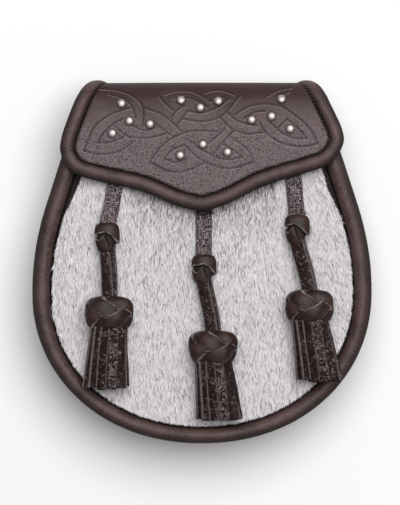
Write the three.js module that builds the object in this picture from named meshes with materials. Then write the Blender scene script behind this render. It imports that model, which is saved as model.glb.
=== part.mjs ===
// A kilt sporran: a flat leather pouch with a hair-on hide front, a tooled flap with domed studs,
// and three leather tassels. Millimetres. It lies on its back: +Z is the front, +Y the top.
// The origin is under the middle of the pouch, on the surface that it rests on.
import * as THREE from 'three';

// Pouch body
const HALF_WIDTH = 97.4; // at its widest line
const WIDEST_Y = -17;
const BOTTOM_DROP = 87.4; // widest line down to the bottom edge
const BOTTOM_POWER = 2.1; // 2 would be a plain ellipse
const SIDE_RADIUS = 155; // the sides curve in above the widest line
const SIDE_ARC_RISE = 50; // and run straight from here up
const TOP_Y = 88.5; // where the piping and gusset end, under the flap
const BODY_STEPS = 52;

const FRONT_Z = 36; // piping centre line, half way up the pouch
const LEAN = 0.044; // the pouch is a wedge, thinner at its mouth
const GAP = 0.3; // between neighbouring pieces

// Leather and hide
const LEATHER = 2;
const PIPING_SIDE = 10.5; // rolled border, at the sides
const PIPING_BOTTOM = 8.9;
const HIDE_UNDER = -1; // hide and its hair, from the piping's centre line
const HIDE_TOP = 2;
const HIDE_SWELL = 1.8; // the filled front is slightly domed
const HIDE_COLUMNS = 10;
const LAST_HIDE_ROW = 0.494; // share of the edge; 0.5 is the bottom point, where a row has no width

// Back
const BACK_Z = 7.5; // outside face of the back panel, set in from the rear edge
const BACK_INSET = 8.4;
const BACK_TOP_Y = 90;

// Gusset wall, from its rear edge to its front edge: a hem, a pinched middle, and the seam to the front
const GUSSET_ROWS = [
  { share: 0, height: 0, outer: 3, inner: 8 },
  { share: 0, height: 5, outer: 3, inner: 8 },
  { share: 0, height: 6.4, outer: 5.2, inner: 7.4 },
  { share: 0.5, height: 3.5, outer: 7.6, inner: 9.6 },
  { share: 1, height: -3, outer: 5.2, inner: 7.2 },
  { share: 1, height: 0, outer: 4, inner: 6 },
];

// Flap: a sheet that is unrolled to (x, q), where q is y on the front and goes on growing over the fold
const FLAP_TIP = 28.7;
const FLAP_HALF_WIDTH = 82.7;
const FLAP_TAPER = 0.46; // how fast its sides come in above the corners
const FLAP_TAPER_Q = 71;
const FLAP_TAPER_SOFTNESS = 8;
const FLAP_CORNER = { x: 62, q: 69, radius: 19.4, start: 13 };
const FLAP_SKEW = 0.04; // its lower edge hangs a little lower on one side
const FLAP_SKEW_FADE = 25;
const FLAP_LIFT = 8.8; // middle of the sheet, from the piping's centre line
const FOLD = { y: 88.3, reach: 13.3 };
const TAIL_Y = 62; // the flap's sewn end, inside the back panel
const TAIL_Z = BACK_Z + LEATHER + GAP + LEATHER / 2;
const FLAP_ROWS = 46;
const FIRST_FLAP_ROW = 0.012; // share of the edge; at 0, the flap's point, a row has no width
// Rolled edge: its width below and beside the corners, and the share of the fold at which it ends
const BINDING = { lower: 8.2, side: 8, widensFrom: 50, widensTo: 70, thickness: 5.6, steps: 84, end: 0.8 };

const STUD = { radius: 2.45, height: 2.1, rim: 0.5 };
// Three groups across the top and one at the flap's point, in the flap's flat (x, q)
const STUD_PLACES = [
  { x: -46.1, q: 89.9 },
  { x: -41.6, q: 80.0 },
  { x: -29.8, q: 78.2 },
  { x: -51.3, q: 72.9 },
  { x: -12.0, q: 91.7 },
  { x: -1.0, q: 87.6 },
  { x: 9.3, q: 91.2 },
  { x: 45.5, q: 92.3 },
  { x: 28.4, q: 80.6 },
  { x: 39.8, q: 82.7 },
  { x: 50.4, q: 75.5 },
  { x: -12.5, q: 60.3 },
  { x: 0.5, q: 66.6 },
  { x: 14.5, q: 62.1 },
];

// Tassels lie on the hide. Heights are from the piping's centre line.
const REST = 4.1; // lowest level of what lies on the hide
const STRAP = { width: 9.4, upper: 1.5, lower: 2.8 };
const KNOT = { width: 14.4, length: 17, depth: 8.5, ends: 0.6 };
const HEAD = { width: 27.6, length: 18.6, depth: 17, ends: 0.72 };
const FRINGE = { topWidth: 20.6, hemWidth: 25.6, under: 5.8, topDepth: 12, hemDepth: 8.2 };
const TASSELS = [
  { name: 'left', top: [-44.8, 60], knot: [-54.2, 13.4], head: [-52.8, -29.2], hem: [-55, -73.8] },
  { name: 'middle', top: [1, 48], knot: [1.1, -4.8], head: [6.3, -48.8], hem: [9.9, -91.7] },
  { name: 'right', top: [50.5, 64], knot: [54.4, 18], head: [61.2, -25.5], hem: [67, -69.4] },
];

// Loops on the back for the belt that the sporran hangs from
const LOOP = { x: 38, width: 20, low: 49, high: 89, foot: 5, slope: 2, outer: 0.6, leather: 1.6 };

const black = { color: 0x584c4c, roughness: 0.55, metalness: 0 };
const tooled = { color: 0x6a6064, roughness: 0.6, metalness: 0 };
const thong = { color: 0x3c3434, roughness: 0.4, metalness: 0 };
const hair = { color: 0xc8c4c6, roughness: 0.9, metalness: 0 };
const nickel = { color: 0xd8d4d4, roughness: 0.18, metalness: 1 };

const sporran = new THREE.Group();

function add(name, geometry, finish) {
  const mesh = new THREE.Mesh(geometry, new THREE.MeshStandardMaterial(finish));
  mesh.name = name;
  sporran.add(mesh);
  return mesh;
}

// Height of the piping's centre line, plus a height above it
const above = (y, height) => FRONT_Z - LEAN * y + height;

const clamp01 = (value) => Math.min(1, Math.max(0, value));

// A closed solid through rings of equally many points. A ring runs out along one side of its section
// and back along the other, so its ends are capped by the rungs between the two sides.
function loft(rings) {
  const count = rings[0].length;
  const faces = [];
  for (let start = 0; start < (rings.length - 1) * count; start += count) {
    for (let i = 0; i < count; i++) {
      const j = (i + 1) % count;
      faces.push(start + i, start + j, start + count + i);
      faces.push(start + j, start + count + j, start + count + i);
    }
  }
  const end = (rings.length - 1) * count;
  for (let i = 0; i < count / 2 - 1; i++) {
    const back = count - 1 - i;
    faces.push(i, back, i + 1, i + 1, back, back - 1);
    faces.push(end + i, end + i + 1, end + back, end + i + 1, end + back - 1, end + back);
  }
  const points = rings.flat();
  let volume = 0;
  for (let i = 0; i < faces.length; i += 3) {
    const [a, b, c] = faces.slice(i, i + 3).map((index) => points[index]);
    volume += a.dot(b.clone().cross(c));
  }
  const geometry = new THREE.BufferGeometry().setFromPoints(points);
  geometry.setIndex(volume > 0 ? faces : faces.reverse());
  return geometry;
}

// The body's edge, from its top right corner round the bottom to its top left
function halfWidth(y) {
  const rise = y - WIDEST_Y;
  const curved = Math.min(rise, SIDE_ARC_RISE);
  const straight = rise - curved;
  return HALF_WIDTH - curved ** 2 / (2 * SIDE_RADIUS) - (straight * SIDE_ARC_RISE) / SIDE_RADIUS;
}

function bodyEdge() {
  const right = [];
  for (let i = 0; i < 8; i++) {
    const y = TOP_Y + ((WIDEST_Y - TOP_Y) * i) / 8;
    right.push(new THREE.Vector2(halfWidth(y), y));
  }
  for (let i = 0; i <= 16; i++) {
    const angle = (i / 16) * (Math.PI / 2);
    const x = HALF_WIDTH * Math.max(0, Math.cos(angle)) ** (2 / BOTTOM_POWER);
    const y = WIDEST_Y - BOTTOM_DROP * Math.sin(angle) ** (2 / BOTTOM_POWER);
    right.push(new THREE.Vector2(x, y));
  }
  const left = right.slice(0, -1).reverse();
  return new THREE.SplineCurve([...right, ...left.map((p) => new THREE.Vector2(-p.x, p.y))]);
}

const EDGE = bodyEdge();

function inward(share) {
  const tangent = EDGE.getTangentAt(share);
  return new THREE.Vector2(tangent.y, -tangent.x);
}

function onEdge(share, inset) {
  return EDGE.getPointAt(share).addScaledVector(inward(share), inset);
}

function pipingWidth(y) {
  const down = clamp01((WIDEST_Y - y) / BOTTOM_DROP);
  return PIPING_SIDE + (PIPING_BOTTOM - PIPING_SIDE) * down;
}

function frontPiping() {
  const rings = [];
  for (let i = 0; i <= BODY_STEPS; i++) {
    const share = i / BODY_STEPS;
    const radius = pipingWidth(EDGE.getPointAt(share).y) / 2;
    const ring = [];
    for (let k = 0; k < 12; k++) {
      const angle = ((k + 0.5) / 12) * 2 * Math.PI;
      const place = onEdge(share, radius - radius * Math.cos(angle));
      ring.push(new THREE.Vector3(place.x, place.y, above(place.y, radius * Math.sin(angle))));
    }
    rings.push(ring);
  }
  return loft(rings);
}

function gusset() {
  const rings = [];
  for (let i = 0; i <= BODY_STEPS; i++) {
    const share = i / BODY_STEPS;
    const edge = EDGE.getPointAt(share);
    const top = above(edge.y, -pipingWidth(edge.y) / 2 - GAP - 0.1);
    const wall = (side) =>
      GUSSET_ROWS.map((row) => {
        const place = onEdge(share, row[side]);
        return new THREE.Vector3(place.x, place.y, row.share * top + row.height);
      });
    rings.push([...wall('outer'), ...wall('inner').reverse()]);
  }
  return loft(rings);
}

function frontPanel() {
  const rings = [];
  const rows = BODY_STEPS / 2;
  for (let i = 0; i <= rows; i++) {
    const share = (LAST_HIDE_ROW * i) / rows;
    const corner = onEdge(share, pipingWidth(EDGE.getPointAt(share).y) + GAP);
    const surface = (height) => {
      const points = [];
      for (let k = 0; k <= HIDE_COLUMNS; k++) {
        const across = (2 * k) / HIDE_COLUMNS - 1;
        const swell = HIDE_SWELL * (1 - across ** 2) * (1 - (corner.y / HALF_WIDTH) ** 4);
        const z = above(corner.y, height + swell);
        points.push(new THREE.Vector3(across * corner.x, corner.y, z));
      }
      return points;
    };
    rings.push([...surface(HIDE_TOP), ...surface(HIDE_UNDER).reverse()]);
  }
  return loft(rings);
}

function backPanel() {
  const outline = [];
  for (let i = 0; i <= BODY_STEPS; i++) {
    outline.push(onEdge(i / BODY_STEPS, BACK_INSET));
  }
  const top = outline[0].x - (BACK_TOP_Y - outline[0].y) * (SIDE_ARC_RISE / SIDE_RADIUS);
  outline.unshift(new THREE.Vector2(top, BACK_TOP_Y));
  outline.push(new THREE.Vector2(-top, BACK_TOP_Y));
  const settings = { depth: LEATHER, bevelEnabled: false };
  return new THREE.ExtrudeGeometry(new THREE.Shape(outline), settings).translate(0, 0, BACK_Z);
}

// The flap's section from its point, up the front, over the fold and down inside the back: (y, z)
function flapProfile() {
  const top = above(FOLD.y, FLAP_LIFT);
  const middle = (top + TAIL_Z) / 2;
  const profile = new THREE.Path();
  profile.moveTo(FLAP_TIP, above(FLAP_TIP, FLAP_LIFT));
  profile.lineTo(FOLD.y, top);
  profile.absellipse(FOLD.y, middle, FOLD.reach, top - middle, Math.PI / 2, -Math.PI / 2, true);
  profile.lineTo(TAIL_Y, TAIL_Z);
  return profile;
}

const PROFILE = flapProfile();
const PROFILE_LENGTH = PROFILE.getLength();
const FOLD_LENGTH = PROFILE.curves[1].getLength();
const TAIL_Q = FLAP_TIP + PROFILE_LENGTH;

// How much further down the flap's outline lies on one side than on the other, fading out at the fold
function skewed(x, q) {
  return q + FLAP_SKEW * x * clamp01((FOLD.y - q) / FLAP_SKEW_FADE);
}

// A place on the flap: x, q on the flat sheet, and its height above the middle of the leather
function onFlap(x, q, height) {
  const share = clamp01((q - FLAP_TIP) / PROFILE_LENGTH);
  const place = PROFILE.getPointAt(share);
  const along = PROFILE.getTangentAt(share);
  const normal = new THREE.Vector3(0, -along.y, along.x);
  return {
    place: new THREE.Vector3(x, place.x, place.y).addScaledVector(normal, height),
    normal,
  };
}

// Right half of the flap's flat outline, from its point to its sewn end
function flapOutline() {
  const { x, q, radius, start } = FLAP_CORNER;
  const angle = THREE.MathUtils.degToRad(start - 90);
  const first = new THREE.Vector2(x + radius * Math.cos(angle), q + radius * Math.sin(angle));
  const points = [
    new THREE.Vector2(0, FLAP_TIP),
    new THREE.Vector2(10, 30.7),
    new THREE.Vector2(34, 41),
    first,
  ];
  const arc = new THREE.EllipseCurve(x, q, radius, radius, angle, -0.15);
  points.push(...arc.getPoints(6).slice(1));
  const last = points[points.length - 1];
  for (let i = 1; i <= 12; i++) {
    const at = last.y + ((TAIL_Q - last.y) * i) / 12;
    const past = at - FLAP_TAPER_Q;
    const taper = (past + Math.hypot(past, FLAP_TAPER_SOFTNESS)) / 2;
    points.push(new THREE.Vector2(FLAP_HALF_WIDTH - FLAP_TAPER * taper, at));
  }
  return new THREE.SplineCurve(points);
}

const FLAP_EDGE = flapOutline();

// A place at a share of the flap's edge, moved in from it
function onFlapEdge(share, inset) {
  const tangent = share > 0 ? FLAP_EDGE.getTangentAt(share) : new THREE.Vector2(1, 0);
  const place = FLAP_EDGE.getPointAt(share);
  return place.add(new THREE.Vector2(-tangent.y, tangent.x).multiplyScalar(inset));
}

function bindingWidth(q) {
  const { lower, side, widensFrom, widensTo } = BINDING;
  return lower + (side - lower) * clamp01((q - widensFrom) / (widensTo - widensFrom));
}

function flap() {
  const rings = [];
  for (let i = 0; i < FLAP_ROWS; i++) {
    const share = FIRST_FLAP_ROW + ((1 - FIRST_FLAP_ROW) * i) / (FLAP_ROWS - 1);
    const inset = bindingWidth(FLAP_EDGE.getPointAt(share).y) + GAP;
    const edge = onFlapEdge(share, inset);
    const columns = [-edge.x, -edge.x / 3, edge.x / 3, edge.x];
    const row = (height) => columns.map((x) => onFlap(x, skewed(x, edge.y), height).place);
    rings.push([...row(LEATHER / 2), ...row(-LEATHER / 2).reverse()]);
  }
  return loft(rings);
}

function flapBinding() {
  const lastQ = FOLD.y + BINDING.end * FOLD_LENGTH;
  const last = clamp01(shareAtQ(lastQ));
  const centres = [];
  for (let i = -BINDING.steps / 2; i <= BINDING.steps / 2; i++) {
    const share = (Math.abs(i) / (BINDING.steps / 2)) * last;
    const width = bindingWidth(FLAP_EDGE.getPointAt(share).y);
    const middle = onFlapEdge(share, width / 2);
    const x = Math.sign(i) * middle.x;
    centres.push({ ...onFlap(x, skewed(x, middle.y), 0), width });
  }
  const rings = centres.map(({ place, normal, width }, i) => {
    const before = centres[Math.max(0, i - 1)].place;
    const after = centres[Math.min(centres.length - 1, i + 1)].place;
    const along = after.clone().sub(before).normalize();
    const across = new THREE.Vector3().crossVectors(normal, along).normalize();
    const ring = [];
    for (let k = 0; k < 10; k++) {
      const angle = ((k + 0.5) / 10) * 2 * Math.PI;
      const point = place.clone().addScaledVector(across, (width / 2) * Math.cos(angle));
      ring.push(point.addScaledVector(normal, (BINDING.thickness / 2) * Math.sin(angle)));
    }
    return ring;
  });
  return loft(rings);
}

// The share of the flap's edge at which it passes a given q
function shareAtQ(q) {
  let low = 0;
  let high = 1;
  for (let i = 0; i < 30; i++) {
    const middle = (low + high) / 2;
    if (FLAP_EDGE.getPointAt(middle).y < q) low = middle;
    else high = middle;
  }
  return low;
}

function stud() {
  const { radius, height, rim } = STUD;
  const outline = [new THREE.Vector2(0, 0), new THREE.Vector2(radius, 0)];
  for (let i = 0; i <= 4; i++) {
    const angle = (i / 4) * (Math.PI / 2);
    const x = radius * Math.max(0, Math.cos(angle));
    outline.push(new THREE.Vector2(x, rim + (height - rim) * Math.sin(angle)));
  }
  return new THREE.LatheGeometry(outline, 12).rotateX(Math.PI / 2);
}

// Rings of a tassel's pieces stand across Y: a flat one for a strap, and a rounded one
function flatRing(x, y, width, low, high) {
  const side = (z) => [-1, 1].map((s) => new THREE.Vector3((s * width) / 2 + x, y, above(y, z)));
  return [...side(high), ...side(low).reverse()];
}

function roundRing(x, y, width, low, high) {
  const ring = [];
  for (let k = 0; k < 16; k++) {
    const angle = ((k + 0.5) / 16) * 2 * Math.PI;
    const z = (low + high) / 2 + ((high - low) / 2) * Math.sin(angle);
    ring.push(new THREE.Vector3(x + (width / 2) * Math.cos(angle), y, above(y, z)));
  }
  return ring;
}

// A barrel along Y with flat ends: ends is how much of its roundness the ends have lost
function barrel([x, y], { width, length, depth, ends }) {
  const middle = REST + depth / 2;
  const rings = [];
  for (let i = 0; i <= 6; i++) {
    const along = i / 3 - 1;
    const size = Math.sqrt(1 - ends * along ** 2);
    const half = (size * depth) / 2;
    const ringY = y - (along * length) / 2;
    rings.push(roundRing(x, ringY, size * width, middle - half, middle + half));
  }
  return loft(rings);
}

function strap(rows, thickness) {
  const { width } = STRAP;
  return loft(rows.map(({ x, y, low }) => flatRing(x, y, width, low, low + thickness)));
}

function addTassel({ name, top, knot, head, hem }) {
  const knotTop = knot[1] + KNOT.length / 2 + GAP;
  const knotEnd = knot[1] - KNOT.length / 2 - GAP;
  const headTop = head[1] + HEAD.length / 2 + GAP;
  const headEnd = head[1] - HEAD.length / 2 - GAP;
  const knotLevel = REST + KNOT.depth / 2;
  const headLevel = REST + HEAD.depth / 2;
  const lift = knotLevel - STRAP.upper / 2;
  const upper = [
    { x: top[0], y: top[1], low: REST },
    { x: knot[0] + (top[0] - knot[0]) * 0.25, y: knotTop + 10, low: REST },
    { x: knot[0], y: knotTop, low: lift },
  ];
  const lower = [
    { x: knot[0], y: knotEnd, low: knotLevel - STRAP.lower / 2 },
    { x: head[0], y: headTop, low: headLevel - STRAP.lower / 2 },
  ];
  const { topWidth, hemWidth, under, topDepth, hemDepth } = FRINGE;
  const high = headLevel + topDepth / 2;
  add(`${name}_strap_upper`, strap(upper, STRAP.upper), thong);
  add(`${name}_strap_knot`, barrel(knot, KNOT), thong);
  add(`${name}_strap_lower`, strap(lower, STRAP.lower), thong);
  add(`${name}_tassel_head`, barrel(head, HEAD), black);
  const fringe = [
    roundRing(head[0], headEnd, topWidth, high - topDepth, high),
    roundRing(hem[0], hem[1], hemWidth, under, under + hemDepth),
  ];
  add(`${name}_tassel_fringe`, loft(fringe), thong);
}

// A belt loop: a strip whose two feet are sewn to the back panel and whose middle stands off it
function beltLoop(x) {
  const { width, low, high, foot, slope, outer, leather } = LOOP;
  const seat = BACK_Z - GAP;
  const outline = [
    [low, seat],
    [low, seat - leather],
    [low + foot, seat - leather],
    [low + foot + slope, outer],
    [high - foot - slope, outer],
    [high - foot, seat - leather],
    [high, seat - leather],
    [high, seat],
    [high - foot - leather, seat],
    [high - foot - slope - leather, outer + leather],
    [low + foot + slope + leather, outer + leather],
    [low + foot + leather, seat],
  ];
  const shape = new THREE.Shape(outline.map(([y, z]) => new THREE.Vector2(y, z)));
  const settings = { depth: width, bevelEnabled: false };
  const geometry = new THREE.ExtrudeGeometry(shape, settings);
  // The outline lies in (Y, Z), and the strip's width is along X.
  geometry.applyMatrix4(new THREE.Matrix4().set(0, 0, 1, 0, 1, 0, 0, 0, 0, 1, 0, 0, 0, 0, 0, 1));
  return geometry.translate(x - width / 2, 0, 0);
}

add('back_panel', backPanel(), black);
add('gusset', gusset(), black);
add('front_panel', frontPanel(), hair);
add('front_piping', frontPiping(), black);
add('flap', flap(), tooled);
add('flap_binding', flapBinding(), black);

STUD_PLACES.forEach(({ x, q }, i) => {
  const mesh = add(`stud_${String(i + 1).padStart(2, '0')}`, stud(), nickel);
  const { place, normal } = onFlap(x, q, LEATHER / 2 + GAP);
  mesh.position.copy(place);
  mesh.quaternion.setFromUnitVectors(new THREE.Vector3(0, 0, 1), normal);
});

TASSELS.forEach(addTassel);
add('strap_loop_left', beltLoop(-LOOP.x), black);
add('strap_loop_right', beltLoop(LOOP.x), black);

export default sporran;
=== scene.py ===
"""A day sporran: a flat leather pouch with a hair-on hide front, a tooled flap with nickel studs and three
leather tassels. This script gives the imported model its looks: swept leather edges, a coat of hair, a tooled
flap, woven tassel heads, cut fringes, stitching and materials. Shapes are worked out in millimetres."""
import math

import bpy
import numpy as np
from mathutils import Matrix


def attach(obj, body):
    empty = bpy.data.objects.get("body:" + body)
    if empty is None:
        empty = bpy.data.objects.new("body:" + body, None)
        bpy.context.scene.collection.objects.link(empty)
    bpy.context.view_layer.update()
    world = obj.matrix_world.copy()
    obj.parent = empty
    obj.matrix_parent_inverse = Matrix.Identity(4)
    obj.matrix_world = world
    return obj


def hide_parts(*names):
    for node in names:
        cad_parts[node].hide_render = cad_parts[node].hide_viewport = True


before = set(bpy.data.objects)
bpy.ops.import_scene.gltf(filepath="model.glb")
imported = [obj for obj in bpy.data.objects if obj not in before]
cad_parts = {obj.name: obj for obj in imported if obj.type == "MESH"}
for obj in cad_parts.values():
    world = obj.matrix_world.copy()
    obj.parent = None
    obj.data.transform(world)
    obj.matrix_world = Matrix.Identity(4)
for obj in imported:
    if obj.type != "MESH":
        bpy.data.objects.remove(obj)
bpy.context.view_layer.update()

bl_info = {
    "name": "Day sporran",
    "version": (1, 0, 0),
    "blender": (4, 5, 0),
    "location": "View3D > Sidebar > Sporran",
    "description": "Builds a leather and hide day sporran around its packed model",
    "category": "Add Mesh",
}

MM = 0.001

# Pouch body. +Y is its top, +Z its front.
HALF_WIDTH = 97.4
WIDEST_Y = -17
BOTTOM_DROP = 87.4
BOTTOM_POWER = 2.1
SIDE_RADIUS = 155
SIDE_ARC_RISE = 50
TOP_Y = 88.5
FRONT_Z = 36
LEAN = 0.044
GAP = 0.3
LEATHER = 2
PIPING_SIDE = 10.5
PIPING_BOTTOM = 8.9
SKIN_UNDER = -1  # the hide's skin, from the piping's centre line
SKIN_TOP = 0.4
HIDE_SWELL = 1.8
PLAN_MIDDLE_Y = -10  # bearings round the hide are taken from here
HAIR_BOX = {"x": (-88, 88), "y": (-97, 76)}  # hair roots are drawn over it
GUARD_SHARE = 0.18  # share of the hairs that are guard hairs
SHADES = 64  # how many shades of hair there are
BACK_Z = 7.5
BACK_INSET = 8.4
BACK_TOP_Y = 90
PANEL_END = 0.494  # how far round the body's edge the two panels go, just short of its lowest point
# Gusset section: share of the wall's height, height above that, outer and inner inset from the body's edge
GUSSET_ROWS = [
    (0, 0, 3, 8),
    (0, 5, 3, 8),
    (0, 6.4, 5.2, 7.4),
    (0.5, 3.5, 7.6, 9.6),
    (1, -3, 5.2, 7.2),
    (1, 0, 4, 6),
]

# Flap: a sheet unrolled to (x, q), where q is y on the front and goes on growing over the fold
FLAP_TIP = 28.7
FLAP_HALF_WIDTH = 82.7
FLAP_TAPER = 0.46
FLAP_TAPER_Q = 71
FLAP_TAPER_SOFTNESS = 8
FLAP_CORNER = {"x": 62, "q": 69, "radius": 19.4, "start": -77}
FLAP_SKEW = 0.04
FLAP_SKEW_FADE = 25
FLAP_LIFT = 8.8
FOLD_Y = 88.3
FOLD_REACH = 13.3
TAIL_Y = 62
TOOLED = (45, 103)  # the interlace lies between these values of q
TAIL_Z = BACK_Z + LEATHER + GAP + LEATHER / 2
# Its rolled edge: width along the bottom and up the sides, the q between which that changes, thickness, and
# the share of the fold that it goes round
BINDING = {"lower": 8.2, "side": 8, "widens_from": 50, "widens_to": 70, "thickness": 5.6, "end": 0.8}

# Tool marks, as bell curves: how far off a line's middle they lie, how wide, and how deep or high they are
GROOVE = {"width": 0.42, "depth": 0.5}
SHOULDER = {"width": 1.5, "depth": 0.1}
RIDGE = {"off": 1.05, "width": 0.4, "height": 0.12}
# The next bell marks where a tooled line's lower lip is painted light, as a highlight
LIP_HIGHLIGHT = {"off": 0.8, "width": 0.36}
SEAM_DEPTH = 0.9
STUD_DENT = {"width": 0.7, "depth": 0.12}

# Stitches: how far apart they are, how long and how thick
BORDER_PITCH = 2.6
SEAM_STITCH = {"pitch": 3.8, "length": 2.9, "thickness": 0.75}
FLAP_STITCH = {"pitch": 2.4, "length": 2.1, "thickness": 0.6}
LOOP_STITCH = {"pitch": 3.75, "length": 2.6, "thickness": 0.75}

STUD_RADIUS = 2.45
STUD_HEIGHT = 2.1
STUD_RIM = 0.95
# x and q of each stud
STUD_PLACES = [
    (-46.1, 89.9),
    (-41.6, 80.0),
    (-29.8, 78.2),
    (-51.3, 72.9),
    (-12.0, 91.7),
    (-1.0, 87.6),
    (9.3, 91.2),
    (45.5, 92.3),
    (28.4, 80.6),
    (39.8, 82.7),
    (50.4, 75.5),
    (-12.5, 60.3),
    (0.5, 66.6),
    (14.5, 62.1),
]

# Tassels lie on the hide. Heights are from the piping's centre line.
REST = 4.1
STRAP_WIDTH = 9.4
# ends and low_end: how much of the square of a knot's or head's size is lost at its upper and its lower end
KNOT = {"width": 14.4, "length": 17, "depth": 8.5, "ends": 0.6, "low_end": 0.6}
HEAD = {"width": 27.6, "length": 18.6, "depth": 17, "ends": 0.72, "low_end": 0.4}
# under: how high the hem's under side lies
FRINGE = {"top_width": 20.6, "hem_width": 25.6, "under": 5.8, "top_depth": 12, "hem_depth": 8.2}
# Centres of each tassel's knot, head and hem, where its strap starts, how much of the under ply shows
# beside the lower strap at its top and at its end, roughly how many degrees its knot and head are turned
# by, and how strongly the upper strap's pebbles are painted light, as glints
TASSELS = {
    "left": {
        "top": (-44.8, 60), "knot": (-54.2, 13.4), "head": (-52.8, -29.2), "hem": (-55, -73.8),
        "reveal": (3.4, 2.2), "turn": 0, "worn": 1.45,
    },
    "middle": {
        "top": (1, 48), "knot": (1.1, -4.8), "head": (6.3, -48.8), "hem": (9.9, -91.7),
        "reveal": (2.2, 1.9), "turn": 6, "worn": 1.15,
    },
    "right": {
        "top": (50.5, 64), "knot": (54.4, 18), "head": (61.2, -25.5), "hem": (67, -69.4),
        "reveal": (1.2, 1.0), "turn": -5, "worn": 1.0,
    },
}

# Belt loops: x of their middle, width, low and high end in y, length of a foot and of the slope next to it,
# z of the outer side, and thickness
LOOP = {"x": 38, "width": 20, "low": 49, "high": 89, "foot": 5, "slope": 2, "outer": 0.6, "leather": 1.6}

# The flap's interlace, listed: each tooled line as the (x, y) places that it runs through
INTERLACE = {
    "left knot": [
        [(-58.5, 98.1), (-47.6, 97.0), (-39.4, 94.0), (-34.4, 89.1), (-33.4, 83.5), (-34.2, 77.0)],
        [(-52.8, 95.1), (-45.4, 92.9), (-40.5, 89.1), (-38.0, 81.9)],
        [(-40.5, 87.7), (-50.9, 84.4), (-60.7, 77.6), (-67.6, 63.0)],
        [(-67.6, 63.0), (-58.5, 61.0), (-47.6, 62.5), (-38.3, 68.8)],
        [(-45.1, 81.4), (-51.3, 77.9), (-57.5, 71.4), (-59.7, 67.5)],
        [(-59.7, 67.5), (-52.1, 68.1), (-44.8, 71.0)],
        [(-51.0, 77.6), (-42.9, 71.7), (-32.2, 70.2), (-20.2, 72.9)],
        [(-41.0, 78.3), (-36.1, 75.4), (-32.2, 74.7), (-26.5, 76.4)],
        [(-32.8, 87.4), (-23.5, 84.1), (-12.0, 74.5)],
        [(-26.8, 78.6), (-16.9, 71.3)],
    ],
    "top knot": [
        [(-23.3, 94.5), (-13.6, 96.8), (-4.4, 96.0), (5.3, 91.2)],
        [(-16.2, 93.0), (-8.0, 93.2), (3.8, 87.9)],
        [(0.2, 95.5), (8.9, 97.2), (21.4, 94.0)],
        [(4.3, 92.5), (10.0, 93.8), (15.3, 92.5)],
        [(-24.3, 93.7), (-21.8, 90.9), (-16.7, 86.3)],
        [(-10.0, 88.9), (-15.0, 85.6), (-17.7, 81.5)],
        [(-8.5, 85.6), (-14.4, 77.9)],
        [(-10.6, 81.2), (-0.3, 79.8), (9.9, 82.2), (21.4, 94.0)],
        [(-8.0, 85.8), (-0.3, 84.8), (7.8, 87.4), (15.3, 92.5)],
        [(9.9, 82.8), (15.5, 76.6), (23.7, 73.0), (35.4, 73.6)],
        [(14.5, 84.8), (20.1, 80.2), (31.4, 77.6)],
    ],
    "right knot": [
        [(18.6, 83.5), (26.3, 88.1), (35.9, 89.8), (46.4, 88.3)],
        [(23.7, 81.5), (31.6, 85.5), (35.9, 85.7)],
        [(32.4, 80.2), (37.7, 72.3), (46.4, 67.1), (58.7, 65.5), (64.8, 66.6)],
        [(39.0, 79.3), (44.7, 74.1), (53.9, 70.1), (60.0, 70.1)],
        [(46.4, 88.0), (54.0, 82.7), (62.2, 74.9), (66.2, 67.1)],
        [(48.6, 81.1), (53.9, 76.9), (58.7, 71.4)],
        [(43.4, 76.3), (48.6, 80.9)],
        [(38.2, 94.4), (44.7, 97.5), (51.0, 98.4)],
        [(46.0, 95.1), (49.5, 96.0)],
    ],
    "point knot": [
        [(9.4, 74.1), (-8.5, 73.8), (-21.8, 66.9), (-30.0, 56.7)],
        [(-30.0, 56.7), (-15.7, 50.8), (-4.4, 53.1), (1.2, 56.4)],
        [(-11.1, 66.1), (-17.5, 63.2), (-21.5, 58.2)],
        [(-21.5, 58.2), (-15.5, 56.4), (-8.5, 58.5)],
        [(-10.5, 66.7), (-0.3, 57.7), (14.0, 52.9), (29.8, 56.7)],
        [(29.8, 56.7), (26.2, 63.3), (17.0, 70.5)],
        [(-8.0, 69.5), (3.8, 61.3), (13.0, 58.2), (23.2, 59.2)],
        [(23.2, 59.2), (18.4, 63.1), (12.4, 66.7)],
        [(13.2, 75.9), (4.3, 67.4)],
        [(18.3, 74.6), (10.4, 66.4), (6.6, 61.0)],
    ],
}

# Finish numbers of a leather strip's faces: its grain side, and its cut edges and flesh side
GRAIN = 0
CUT = 1

# Inputs and output of Blender's Mix node for colours
MIX_FACTOR, MIX_A, MIX_B, MIX_RESULT = 0, 6, 7, 2

# Stage, in metres, apart from the sensor's millimetres
CAMERA_HEIGHT = 1.6
CAMERA_OFFSET = (-0.00114, 0.00486)
VIEW_LEVEL = 0.041  # height at which the view's size is set
VIEW_LONG_SIDE = 0.289
SENSOR = 36
LAMP_PLACE = (0.3, 0.6, 1.85)
LAMP_SIZE = 2.0
FLOOR_HALF = 8.0


# ---------------------------------------------------------------- numbers and curves


def linear(code):
    """An sRGB hex colour as linear red, green, blue and an alpha of 1."""
    parts = [int(code[i : i + 2], 16) / 255 for i in (0, 2, 4)]
    return (*(p / 12.92 if p <= 0.04045 else ((p + 0.055) / 1.055) ** 2.4 for p in parts), 1.0)


def unit(vectors):
    """Vectors divided by their lengths."""
    return vectors / np.linalg.norm(vectors, axis=-1, keepdims=True)


def ease(share):
    """An S-curve from 0 to 1: 3 t squared minus 2 t cubed, with t held between 0 and 1."""
    share = np.clip(share, 0, 1)
    return share * share * (3 - 2 * share)


def bell(distance, width):
    """A bell curve: 1 at no distance, and a little over a third at a distance of one width."""
    return np.exp(-((distance / width) ** 2))


def round_bell(angle, width):
    """A bell curve round a circle, with its peak at 0 radians."""
    return bell(angle, width) + bell(angle - 2 * math.pi, width)


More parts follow.
